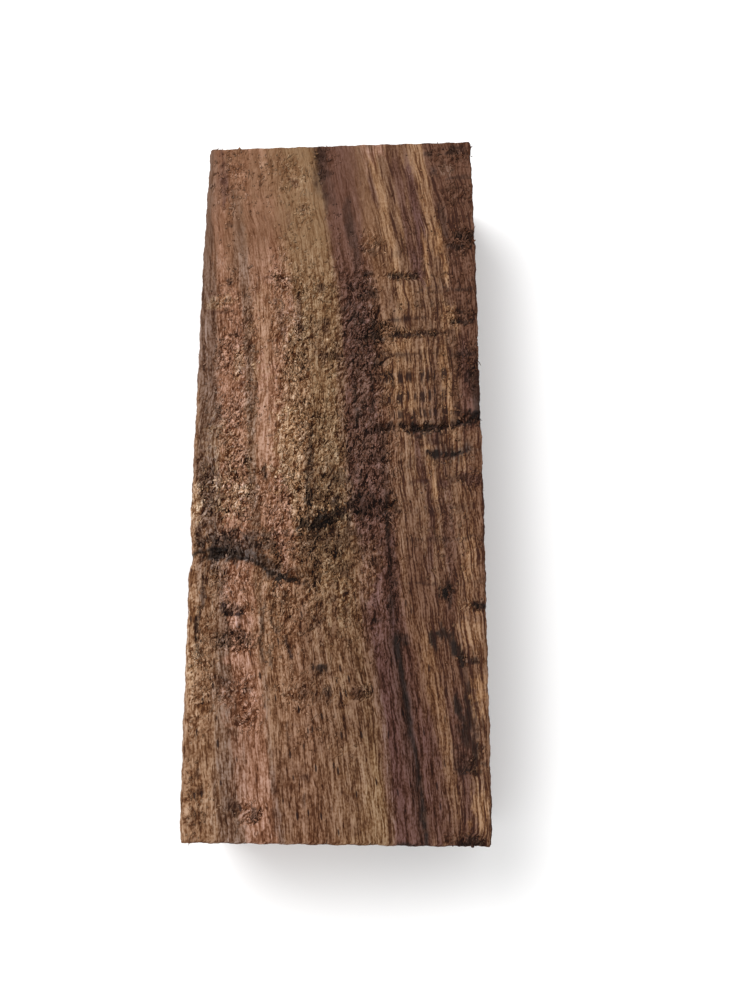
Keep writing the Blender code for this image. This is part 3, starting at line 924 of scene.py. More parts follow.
TORN: tuple[TornPatch, ...] = tuple(TornPatch(*row) for row in (
    # the broad, mildly torn ground
    (-8, 12, 19, 34, 0.4),
    (-8, -18, 18, 16, 0.42),
    (-16, 57, 10, 8, 0.5),
    (20, 20, 9, 46, 0.15),
    (20, -10, 8, 14, 0.2),
    (6, -19, 4.6, 13, 0.5),
    (5, 10, 5, 26, 0.6),
    # where the scales stand out
    (-16, 58.4, 6.2, 5.4, 0.85),
    (-20.6, 51, 2, 4, 0.45),
    (-8, 56.6, 3.4, 3.4, 0.5),
    (-3, 60.4, 3, 3.6, 0.55),
    (-6.4, 49.6, 2.4, 3, 0.4),
    (21.6, 60.6, 4.4, 3.2, 0.85),
    (22.4, 52.4, 3.2, 2.6, 0.8),
    (23.2, 43, 3, 2.6, 0.9),
    (6, 42.5, 2.4, 3, 0.6),
    (-20.6, 35.6, 1.8, 1.6, 0.5),
    (-21.4, 31.4, 3.2, 2.2, 0.7),
    (-11, 35.6, 4.6, 2.4, 0.75),
    (-4, 33.6, 4.4, 3.4, 0.75),
    (4.5, 34.2, 3.6, 3.4, 0.75),
    (-5.4, 26.4, 4.6, 4, 0.75),
    (6.4, 25, 4.4, 3.4, 1),
    (-19.2, 21.6, 3.2, 6, 0.8),
    (-7.4, 19.4, 3.4, 5.6, 0.85),
    (-1, 20, 3.4, 4.8, 0.85),
    (-23, 18, 2.4, 7, 0.5),
    (5.8, 18.6, 3.6, 3.6, 0.6),
    (12, 36, 5, 1, 0.8),
    (14, 24.5, 5, 1.1, 0.8),
    (22.4, 27.6, 3.2, 2.2, 0.8),
    (23.6, 18.6, 2.4, 4.6, 0.85),
    (-18.6, 8, 3.4, 8, 0.6),
    (-10.6, 8, 4, 6, 0.5),
    (-5.4, 8, 4, 8, 0.85),
    (0, 6, 4.6, 9, 0.8),
    (6.4, 1, 5.4, 8, 0.75),
    (-16.6, -4.4, 5.6, 7.4, 1),
    (-8.4, -5.4, 5, 8, 0.85),
    (-1, -7, 5.6, 6.6, 0.9),
    (6, -8, 5, 4, 0.8),
    (-22.6, -5, 3, 8, 0.6),
    (14.6, 6.8, 8.6, 1, 0.9),
    (23.4, 8, 2.6, 1.6, 0.9),
    (23.4, -2.6, 2.8, 2.4, 0.6),
    (-17, -13.6, 7, 2.8, 0.8),
    (-7.6, -14.4, 5, 4.4, 0.85),
    (-1, -16, 4.4, 5.6, 0.8),
    (2, -24, 2.6, 5.6, 0.6),
    (-17.4, -20.4, 6, 2.8, 0.6),
    (-16.6, -25, 4, 1.6, 0.7),
    (-16.6, -30.6, 4.2, 2.2, 1),
    (-5.4, -26, 5.4, 5, 0.45),
    (-16, -38.6, 4.4, 3.6, 0.4),
    (-14.6, -43.6, 2.2, 2.4, 0.6),
    (-3, -38.8, 6.6, 3.8, 0.4),
    (4.4, -39.4, 2.2, 1.6, 0.8),
    (-1, -46.6, 5.6, 3, 0.2),
    (-22.4, -36, 2.8, 12, 0.35),
    (-22.6, -57, 2.8, 5.6, 0.4),
    (-14.6, -58.6, 3.6, 2.2, 0.5),
    (18.6, -22.6, 2, 1.6, 0.5),
    (23.6, -24.8, 2.2, 1.4, 0.7),
    (22.4, -34, 2.6, 1.4, 0.5),
    (22.6, -50.6, 2.4, 2.4, 0.3),
    (22, -62.6, 3.4, 1.2, 0.7),
))

ROWS: tuple[Row, ...] = tuple(Row(*row) for row in (
    (44.2, 17, 26, 0.5, 0.4),
    (40.4, 9, 24, 0.8, 0.3),
    (36.2, 8.5, 15, 0.45, 0.7),
    (33, 14, 25, 0.4, 0.6, 0.08),
    (30.2, 9, 24, 0.9, 0.35),
    (27.4, 9, 16, 0.35, 0.7),
    (24.6, 9.5, 20, 0.5, 0.8, 0.08),
    (20.4, 8, 24, 0.9, 0.45),
    (16.4, 7.5, 20, 1.1, 1),
    (12.6, 8.5, 19.5, 1.1, 1),
    (9.5, 9, 22, 0.85, 0.9),
    (4.2, 12, 24, 0.8, 0.4),
    (0.4, 11, 24, 0.9, 0.4),
    (-3.2, 12, 25, 0.6, 0.55),
    (-8.3, 14, 24, 0.9, 0.35),
    (-13.5, 12, 25, 0.35, 0.5),
    (-21.2, 12, 25, 0.3, 0.5),
))


@dataclass(frozen=True)
class Looks:
    """What the material reads at each point of a mesh; each field becomes an attribute of its name."""

    tint: Array  # the wood's colour, with painted shade and painted light on its torn scales and chips
    grain: Array  # the place across the fibres, along them and down, which the patterns follow
    torn: Array  # how badly it is torn, from 0 to about 1
    rows: Array  # how deep in a torn row, from 0 to 1
    lines: Array  # how strongly the straight fibres show
    figure: Array  # 1 where the curl shows
    contrast: Array  # how strongly all the patterns show
    pores: Array  # how strongly pores show


@dataclass(frozen=True)
class Relief:
    """How high or deep the fine relief goes, in millimetres."""

    scale_slope: float = 0.19
    scale_gap: float = 0.24
    scale_step: float = 0.16
    scale_sunk: float = 0.12
    fibre: float = 0.02
    grit: float = 0.015
    kerf: float = 0.035
    kerf_pitch: float = 1.15
    kerf_lean: float = 0.18
    seam_share: float = 0.35  # of the check's own depth
    nick: float = 0.14


@dataclass(frozen=True)
class Wood:
    """The koa itself: where its fibres run, where it is torn and what colour it has, at any point."""

    form: BlockForm
    relief: Relief = Relief()
    tilt: float = 0.28  # how far the growth layers lean with depth
    drift_y: tuple[float, ...] = (-64.0, -45.0, -30.0, -15.0, 0.0, 15.0, 30.0, 45.0, 64.0)
    drift_x: tuple[float, ...] = (8.2, 6.3, 4.0, 2.0, 0.2, -0.6, -1.5, -3.3, -6.7)
    drift_middle: float = 4.0  # the x where the drift is whole
    drift_loss: float = 0.0006  # the share of it lost for each square millimetre away from there
    stain_depth: float = 5.0  # how far below the top the smudges reach
    fibre_depth: float = 3.0  # how far below the top the fibres lean with the growth bands
    figure_y: tuple[float, ...] = (-64.0, -35.0, -20.0, 5.0, 40.0, 64.0)
    figure_x: tuple[float, ...] = (19.0, 16.0, 11.5, 9.0, 8.0, 4.5)  # the curl shows to the right of these
    contrast_light: tuple[float, ...] = (0.0, 0.006, 0.014, 0.03, 0.06, 0.12, 0.2)
    contrast_share: tuple[float, ...] = (0.6, 0.9, 1.3, 1.6, 1.45, 1.15, 0.95)

    def weather(self, x: Array, y: Array, d: Array) -> Weather:
        """The random fields that fray and break the marks.

        Args:
            x, y, d: places.

        Returns:
            The fields there.
        """
        u = self.fibre_place(x, y, d)
        return Weather(
            along=FIBRES.at(u, y, d),
            strands=STRANDS.at(u, y, d),
            ragged=LUMPS.at(x, y, d),
            specks=GRIT.at(x, y, d),
            slow=SLOW_CHANGE.at(u, y, d),
        )

    def drift(self, x: Array, y: Array) -> Array:
        """How far the grain has drifted to the right at y, a little less towards the sides."""
        share = 1 - self.drift_loss * (x - self.drift_middle) ** 2
        return share * np.interp(y, self.drift_y, self.drift_x)

    def across_grain(self, x: Array, y: Array, d: Array) -> Array:
        """The place across the grain: x without the drift of the fibres, and with the layers' lean."""
        return x - self.drift(x, y) + self.tilt * d

    def fibre_place(self, x: Array, y: Array, d: Array) -> Array:
        """The place across the fibres, which run straighter along the sides than the growth bands do."""
        return x - self.drift(x, y) * np.exp(-d / self.fibre_depth) + self.tilt * d

    def swing(self, x: Array, y: Array) -> Array:
        """How far the fibres swing sideways: a quarter turn behind the curl's ridges, plus a random sway.

        Args:
            x, y: places.

        Returns:
            Distances.
        """
        fade = 0.35 + 0.65 * smooth(x, -6.0, 10.0)
        freedom = 0.12 + 0.88 * smooth(-x, -2.0, 8.0) * smooth(y, -8.0, 12.0)
        sway = 1.3 * SLOW_SWAY.on_top(x, y) + 0.3 * QUICK_SWAY.on_top(x, y)
        return 0.07 * fade * np.cos(self.form.curl_phase(x, y)) + freedom * sway

    def torn(self, x: Array, y: Array, d: Array, weather: Weather) -> Array:
        """How badly the surface is torn: the strongest of the patches, with ragged edges, in ropes.

        Args:
            x, y, d: places.
            weather: the random fields there.

        Returns:
            Shares from 0 to about 1; less between the ropes, at the far end and below the top.
        """
        worst = np.zeros(np.shape(x))
        for patch in TORN:
            reach = np.hypot((x - patch.x) / patch.half_across, (y - patch.y) / patch.half_along)
            reach = reach + 0.3 * weather.ragged
            worst = np.maximum(worst, patch.strength * (1 - smooth(reach, 0.35, 1.35)))
        u = self.across_grain(x, y, d) + 0.8 * weather.slow
        ropes = smooth(ROPES.on_top(u, y), -0.5, 0.4)
        sound_left = (0.75 * bell(u, -12.6, 2.4) + 0.7 * bell(u, -22.8, 1.5)) * smooth(y, -2.0, 5.0)
        sound_plum = 0.55 * bell(u, 5.0, 2.8) * bell(y, 14.0, 5.0)
        far_end = smooth(y, 44.0, 54.0)
        calm = (1 - 0.4 * far_end) * (1 - sound_left - sound_plum)
        return worst * calm * (0.55 + 0.6 * ropes) * (1 - smooth(d, 0.6, 2.4))

    def rows(self, x: Array, y: Array, weather: Weather) -> Array:
        """How deep in a torn row each point is: the deepest of the rows.

        Args:
            x, y: places.
            weather: the random fields there.

        Returns:
            Shares from 0 to 1.
        """
        deep = np.zeros(np.shape(x))
        for row in ROWS:
            off = y - row.y - row.rise * (x - 15.0) + 0.4 * weather.ragged + 0.5 * weather.slow
            begun = smooth(x, row.first_x - 1.0, row.first_x + 1.0)
            inside = begun * (1 - smooth(x, row.last_x - 1.0, row.last_x + 1.0))
            near = 1 - smooth(np.abs(off) / row.half_along, 0.5, 1.3)
            deep = np.maximum(deep, row.strength * inside * near)
        return deep

    def scales(self, x: Array, y: Array, d: Array, weather: Weather) -> tuple[Array, Array, Array]:
        """The scales that torn grain breaks into, about a millimetre wide and lifted at one side.

        Args:
            x, y, d: places.
            weather: the random fields there.

        Returns:
            Each scale's slope as a height from -1 to 1, the gaps between scales from 0 to 1, and each
            scale's own random number.
        """
        warped_x = x * 1.15 + 0.35 * weather.specks
        warped_y = y * 0.95 + 0.3 * weather.ragged
        first, second, off_x, off_y, own = cells(warped_x, warped_y, d * 1.1, SCALE_SEED)
        turn = 0.9 + 2.2 * (own - 0.5)
        slope = off_x * np.sin(turn) * 1.3 + off_y * np.cos(turn) * 1.3
        gap = 1 - smooth(second - first, 0.03, 0.3)
        return np.clip(slope, -1, 1), gap, own

    def tint(self, x: Array, y: Array, d: Array, weather: Weather, torn: Array) -> Array:
        """The wood's colour in linear light: its growth bands, then each mark over them, then the scales,
        with painted shade in their gaps and painted light on their raised sides.

        Args:
            x, y, d: places.
            weather: the random fields there.
            torn: how badly the surface is torn there.

        Returns:
            One colour for each place.
        """
        layer_x = x + self.tilt * d
        u = self.across_grain(x, y, d) + 0.5 * weather.along + 0.5 * weather.strands
        places = [place for place, _ in BANDS]
        tones = np.array([tone.light for _, tone in BANDS])
        colour = np.stack([np.interp(u, places, tones[:, part]) for part in range(3)], 1)
        for streak in STREAKS:
            weight = streak.weight(layer_x, y, weather)[:, None]
            colour = colour + (streak.tone.light - colour) * weight
        near_top = np.exp(-d / self.stain_depth)
        for mark in (*SMUDGES, *SEAMS):
            weight = (mark.weight(x, y, weather) * near_top)[:, None]
            colour = colour + (mark.tone.light - colour) * weight
        mottle = 1 + 0.10 * weather.slow + 0.12 * weather.strands + (0.08 + 0.14 * torn) * weather.ragged
        slope, gap, own = self.scales(x, y, d, weather)
        # a random tone for each scale, and painted light and shade by how the scale slopes
        scale_tone_and_painted_light = 1 + torn * (0.75 * (own - 0.45) + 0.25 * slope)
        # painted shade in the gaps between scales
        dark = 1 - 0.62 * torn * gap
        spread = np.maximum(mottle * scale_tone_and_painted_light * dark, 0.05)
        colour = colour * spread[:, None] ** np.array(DARKENING)
        lift = 1 + 0.42 * torn * smooth(self.shown(colour), 0.04, 0.11)
        return np.clip(colour * lift[:, None], DARKEST, LIGHTEST)

    def shown(self, colour: Array) -> Array:
        """How bright each colour shows on a level surface."""
        return colour @ LUMINANCE * EXPOSURE

    def looks(self, x: Array, y: Array, d: Array) -> Looks:
        """All that the material reads: the fibres swing and curl near the top and fade with depth.

        Args:
            x, y, d: places.

        Returns:
            The looks there.
        """
        weather = self.weather(x, y, d)
        torn = self.torn(x, y, d, weather)
        tint = self.tint(x, y, d, weather, torn)
        curly = 1.1 * torn * CURLS.on_top(x, y)
        u = self.fibre_place(x, y, d) + (self.swing(x, y) + curly) * np.exp(-d / self.fibre_depth)
        above = 1 - smooth(d, 1.0, 4.0)
        figure = smooth(x - np.interp(y, self.figure_y, self.figure_x), -1.5, 2.5)
        nearer = 0.5 + 0.5 * smooth(-y, -44.0, -22.0)
        far_left = smooth(y, 36.0, 46.0) * (1 - figure)
        contrast = np.interp(self.shown(tint), self.contrast_light, self.contrast_share)
        contrast = contrast * (1 - 0.26 * smooth(y, 44.0, 56.0))
        contrast = contrast * (1 + 0.22 * bell(y, -14.0, 22.0) * smooth(-x, -8.0, 0.0))
        clotted = bell(u, 4.5, 3.6) * smooth(y, -22.0, -4.0) * (1 - smooth(y, 22.0, 42.0))
        clotted = clotted * (1 - 0.7 * bell(y, 14.0, 5.5))
        lines = 0.85 - 0.5 * far_left + 0.12 * figure + 0.2 * clotted - 0.25 * torn
        return Looks(
            tint=tint,
            grain=np.stack([u, y, d], 1),
            torn=torn * nearer + 0.5 * clotted * above,
            rows=above * self.rows(x, y, weather),
            lines=lines * (0.5 + 0.5 * nearer),
            figure=figure * above,
            contrast=contrast,
            pores=nearer * (0.55 + 0.45 * smooth(-y, 5.0, 40.0)) * (1 - 0.5 * figure),
        )

    def fine_relief(self, x: Array, y: Array, d: Array, outward: Array) -> Array:
        """Relief finer than the solid's: torn scales, fuzz, the saw's kerfs, the checks' floors and nicks.

        Args:
            x, y, d: places.
            outward: the surface's outward direction there.

        Returns:
            Heights along the outward direction, in millimetres, mostly below it.
        """
        size = self.relief
        weather = self.weather(x, y, d)
        torn = self.torn(x, y, d, weather)
        slope, gap, own = self.scales(x, y, d, weather)
        scale_height = size.scale_slope * slope - size.scale_gap * gap
        scale_height = torn * (scale_height + size.scale_step * (own - 0.5) - size.scale_sunk)
        fuzz = size.fibre * weather.along + size.grit * weather.specks
        up = np.abs(outward[:, 2])
        kerf_place = y + x + size.kerf_lean * (self.form.thickness - d)
        kerf = size.kerf * (1 - up) * np.sin(2 * math.pi * kerf_place / size.kerf_pitch)
        seam = np.zeros(np.shape(x))
        for check in self.form.checks:
            reach = distance_to_line(x, y + 0.4 * weather.ragged, check.points) / (0.6 * check.half_width)
            seam = np.maximum(seam, size.seam_share * check.depth * np.exp(-reach * reach))
        seam = seam * (0.2 + 0.8 * up) * (1 - smooth(d, 1.5, 6.0)) * (1 + 0.5 * weather.specks)
        arris = smooth(1.0 - np.abs(outward).max(axis=1), 0.02, 0.25)
        nicks = size.nick * arris * smooth(weather.ragged, 0.1, 0.8)
        return scale_height + fuzz + kerf - seam - nicks


# Meshes


def put_looks(mesh: bpy.types.Mesh, looks: Looks) -> None:
    """Stores what the material reads: numbers as floats, triples as vectors, one for each vertex.

    Args:
        mesh: where they go.
        looks: what they are.
    """
    for name, values in vars(looks).items():
        kind, field_name = ("FLOAT", "value") if values.ndim == 1 else ("FLOAT_VECTOR", "vector")
        attribute = mesh.attributes.new(name, kind, "POINT")
        attribute.data.foreach_set(field_name, values.astype(np.float32).ravel())


def make_piece(
    name: str, points: Array, quads: Array, triangles: Array, corner_uv: Array, material: bpy.types.Material
) -> bpy.types.Object:
    """Makes a mesh object from arrays and puts it on the block's body.

    Args:
        name: the piece's name.
        points: vertices in millimetres.
        quads: four vertex numbers for each quad.
        triangles: three vertex numbers for each triangle.
        corner_uv: a map place for each corner, quads first.
        material: the piece's finish.

    Returns:
        The object, at the origin and unturned.
    """
    mesh = bpy.data.meshes.new(name)
    mesh.vertices.add(len(points))
    mesh.vertices.foreach_set("co", (points * MM).astype(np.float32).ravel())
    mesh.loops.add(4 * len(quads) + 3 * len(triangles))
    corners = np.concatenate([quads.ravel(), triangles.ravel()])
    mesh.loops.foreach_set("vertex_index", corners.astype(np.int32))
    mesh.polygons.add(len(quads) + len(triangles))
    starts = np.concatenate([4 * np.arange(len(quads)), 4 * len(quads) + 3 * np.arange(len(triangles))])
    mesh.polygons.foreach_set("loop_start", starts.astype(np.int32))
    mesh.update(calc_edges=True)
    mesh.shade_smooth()
    layer = mesh.uv_layers.new(name="OFBake")
    layer.uv.foreach_set("vector", corner_uv.astype(np.float32).ravel())
    mesh.validate()
    mesh.materials.append(material)
    piece = bpy.data.objects.new(name, mesh)
    bpy.context.scene.collection.objects.link(piece)
    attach(piece, "root")
    LOG.info("%s: %d points, %d triangles", name, len(points), 2 * len(quads) + len(triangles))
    return piece


def inside_box(points: Array) -> Array:
    """Keeps points inside the solid's own box."""
    return np.clip(points, np.array(CAD_BOX[0]) / MM, np.array(CAD_BOX[1]) / MM)


class Face(Enum):
    """The six faces of the block, in the order of their charts on the map."""

    TOP = 0
    UNDERSIDE = 1
    NEAR_END = 2
    RIGHT_SIDE = 3
    FAR_END = 4
    LEFT_SIDE = 5


class Net:
    """A mesh in the making: its points, its quads and triangles, and the block's face that each is on."""

    def __init__(self) -> None:
        """Starts with nothing."""
        self.points: list[Array] = []
        self.quads: list[Array] = []
        self.triangles: list[Array] = []
        self.quad_faces: list[Array] = []
        self.triangle_faces: list[Array] = []
        self.count = 0

    def add_points(self, flat: Array, z: float) -> Array:
        """Adds points at one height.

        Args:
            flat: their x and y.
            z: the height.

        Returns:
            Their numbers.
        """
        self.points.append(np.column_stack([flat, np.full(len(flat), z)]))
        self.count += len(flat)
        return np.arange(self.count - len(flat), self.count)

    def add_quads(self, corners: tuple[Array, Array, Array, Array], face: Array) -> None:
        """Adds quads by their four corners' numbers, and the face they are on."""
        self.quads.append(np.stack(corners, -1).reshape(-1, 4))
        self.quad_faces.append(np.broadcast_to(face, corners[0].shape).ravel())

    def add_ring(self, upper: Array, lower: Array, face: Array) -> None:
        """Adds a ring of quads between two closed loops."""
        self.add_quads((upper, lower, np.roll(lower, -1), np.roll(upper, -1)), face)

    def add_widening_ring(self, upper: Array, lower: Array, face: Array) -> None:
        """Adds a ring of triangles between a closed loop and one with a third as many points.

        Args:
            upper: the finer loop.
            lower: the coarser one.
            face: the face that each run of the coarser loop is on.
        """
        f0, f1, f2, f3 = upper[::3], upper[1::3], upper[2::3], np.roll(upper[::3], -1)
        c0, c1 = lower, np.roll(lower, -1)
        for corners in ((f0, c0, f1), (f1, c0, f2), (f2, c0, c1), (f2, c1, f3)):
            self.triangles.append(np.stack(corners, -1))
            self.triangle_faces.append(face)


@dataclass(frozen=True)
class BlockSkin:
    """The block's surface: a fine grid on top, and one three times coarser on the lower sides and below."""

    wood: Wood
    pitch: float = 0.335
    up_pitch: float = 0.85
    rows_in_arris: int = 3
    rows_in_wane: int = 6
    chart_gap: float = 1.0
    canvas: float = 162.0  # the side of the map, in millimetres of the top's chart

    def stations(self, low: float, high: float, low_rows: int, low_round: float) -> Array:
        """Grid places along one edge: a few in each rounded arris and even ones between, 3n + 1 in all.

        Args:
            low, high: the edge's ends.
            low_rows: how many lie in the arris at the low end.
            low_round: that arris's radius.

        Returns:
            The places.
        """
        inner_low, inner_high = low + low_round, high - self.wood.form.eased
        steps = 3 * round((inner_high - inner_low) / self.pitch / 3)
        first = np.linspace(low, inner_low, low_rows + 1)[:-1]
        even = np.linspace(inner_low, inner_high, steps + 1)
        last = np.linspace(inner_high, high, self.rows_in_arris + 1)[1:]
        return np.concatenate([first, even, last])

    def grid(self) -> Net:
        """The plain box as a closed grid: the top, then rings down the sides, then the underside.

        Returns:
            The grid, its points in millimetres.
        """
        form = self.wood.form
        net = Net()
        xs = self.stations(-form.width / 2, form.width / 2, self.rows_in_wane, form.wane)
        ys = self.stations(-form.length / 2, form.length / 2, self.rows_in_arris, form.eased)
        nx, ny = len(xs), len(ys)
        flat = np.column_stack([np.repeat(xs, ny), np.tile(ys, nx)])
        top = net.add_points(flat, form.thickness).reshape(nx, ny)
        net.add_quads((top[:-1, :-1], top[1:, :-1], top[1:, 1:], top[:-1, 1:]), np.array(Face.TOP.value))

        around = (Face.NEAR_END, Face.RIGHT_SIDE, Face.FAR_END, Face.LEFT_SIDE)
        side = np.repeat([face.value for face in around], [nx - 1, ny - 1, nx - 1, ny - 1])
        loop = np.concatenate([top[:-1, 0], top[-1, :-1], top[:0:-1, -1], top[0, :0:-1]])
        rim = flat[loop]
        fine_z = np.linspace(form.thickness, form.thickness - form.wane, self.rows_in_wane + 1)[1:]
        upper = loop
        for z in fine_z:
            lower = net.add_points(rim, z)
            net.add_ring(upper, lower, side)
            upper = lower

        steps = round((form.thickness - form.wane - form.eased) / self.up_pitch)
        coarse_z = np.linspace(form.thickness - form.wane, form.eased, steps + 1)[1:]
        coarse_z = np.concatenate([coarse_z, np.linspace(form.eased, 0.0, self.rows_in_arris + 1)[1:]])
        rim, side = rim[::3], side[::3]
        lower = net.add_points(rim, coarse_z[0])
        net.add_widening_ring(upper, lower, side)
        upper = lower
        for z in coarse_z[1:]:
            lower = net.add_points(rim, z)
            net.add_ring(upper, lower, side)
            upper = lower

        cx, cy = xs[::3], ys[::3]
        mx, my = len(cx), len(cy)
        under = np.full((mx, my), -1)
        under[:-1, 0] = upper[: mx - 1]
        under[-1, :-1] = upper[mx - 1 : mx + my - 2]
        under[:0:-1, -1] = upper[mx + my - 2 : 2 * mx + my - 3]
        under[0, :0:-1] = upper[2 * mx + my - 3 :]
        flat = np.column_stack([np.repeat(cx[1:-1], my - 2), np.tile(cy[1:-1], mx - 2)])
        under[1:-1, 1:-1] = net.add_points(flat, 0.0).reshape(mx - 2, my - 2)
        corners = (under[:-1, :-1], under[:-1, 1:], under[1:, 1:], under[1:, :-1])
        net.add_quads(corners, np.array(Face.UNDERSIDE.value))
        return net

    def charts(self, box: Array, corners: Array, faces: Array) -> Array:
        """Lays each face flat on the map, with no overlap: the top largest, the underside at half size.

        Args:
            box: points on the plain box.
            corners: vertex numbers of each face's corners.
            faces: which face of the block each is on.

        Returns:
            A map place for each corner.
        """
        form, gap = self.wood.form, self.chart_gap
        x = box[corners, 0] + form.width / 2
        y = box[corners, 1] + form.length / 2
        z = box[corners, 2]
        face = np.broadcast_to(faces[:, None], corners.shape)
        on = {kind: face == kind.value for kind in Face}
        above_top = gap + form.width + gap
        above_underside = above_top + form.width / 2 + gap
        row = form.thickness + gap
        u = np.select([on[Face.UNDERSIDE], on[Face.NEAR_END] | on[Face.FAR_END]], [y / 2, x], y)
        v = np.select([on[Face.TOP], on[Face.UNDERSIDE]], [x, x / 2], z)
        start_u = np.where(on[Face.FAR_END], 2 * gap + form.width, gap)
        start_v = np.select(
            [on[Face.TOP], on[Face.UNDERSIDE], on[Face.RIGHT_SIDE], on[Face.LEFT_SIDE]],
            [gap, above_top, above_underside, above_underside + row],
            above_underside + 2 * row,
        )
        return np.stack([(u + start_u) / self.canvas, (v + start_v) / self.canvas], -1).reshape(-1, 2)

    def build(self, material: bpy.types.Material) -> Array:
        """Makes the block: the sawn form plus the fine relief along the outward direction.

        Args:
            material: its finish.

        Returns:
            How far the block was slid to centre it on the origin.
        """
        form = self.wood.form
        net = self.grid()
        box, quads, triangles = (np.concatenate(part) for part in (net.points, net.quads, net.triangles))
        quad_faces, triangle_faces = np.concatenate(net.quad_faces), np.concatenate(net.triangle_faces)
        shape, outward = form.rounded(box)
        depth = form.thickness - shape[:, 2]
        sawn = form.sawn(box, shape)
        slide = -(sawn.min(axis=0) + sawn.max(axis=0)) / 2 * np.array([1, 1, 0])
        relief = self.wood.fine_relief(shape[:, 0], shape[:, 1], depth, outward)
        relief = np.where(outward[:, 2] < -0.5, 0.0, relief)
        points = sawn + outward * relief[:, None] + slide
        points[:, 2] = np.maximum(points[:, 2], 0.0)
        points = inside_box(points)
        quad_uv = self.charts(box, quads, quad_faces)
        triangle_uv = self.charts(box, triangles, triangle_faces)
        uv = np.concatenate([quad_uv, triangle_uv])
        block = make_piece("koa_block_dressed", points, quads, triangles, uv, material)
        put_looks(block.data, self.wood.looks(shape[:, 0], shape[:, 1], depth))
        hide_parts("koa_block")
        return slide


@dataclass(frozen=True)
class ChipKind:
    """One kind of chip: how many there are, and the ranges of their sizes in millimetres."""

    name: str
    count: int
    length: tuple[float, float]
    width: tuple[float, float]
    thickness: float
    lift: tuple[float, float]
    spread: float  # how far they turn from the grain, in degrees
    lightness: tuple[float, float]
    seed: int


CHIP_KINDS: tuple[ChipKind, ...] = (
    ChipKind("torn_scales", 3500, (0.5, 1.1), (0.35, 0.65), 0.09, (0.02, 0.16), 40, (0.7, 1.3), 51),
    ChipKind("splinters", 3000, (0.8, 2.2), (0.12, 0.22), 0.08, (0.02, 0.16), 14, (0.6, 1.3), 52),
    ChipKind("crumbs", 5000, (0.3, 0.6), (0.25, 0.45), 0.1, (0.04, 0.18), 70, (0.5, 1.4), 53),
)


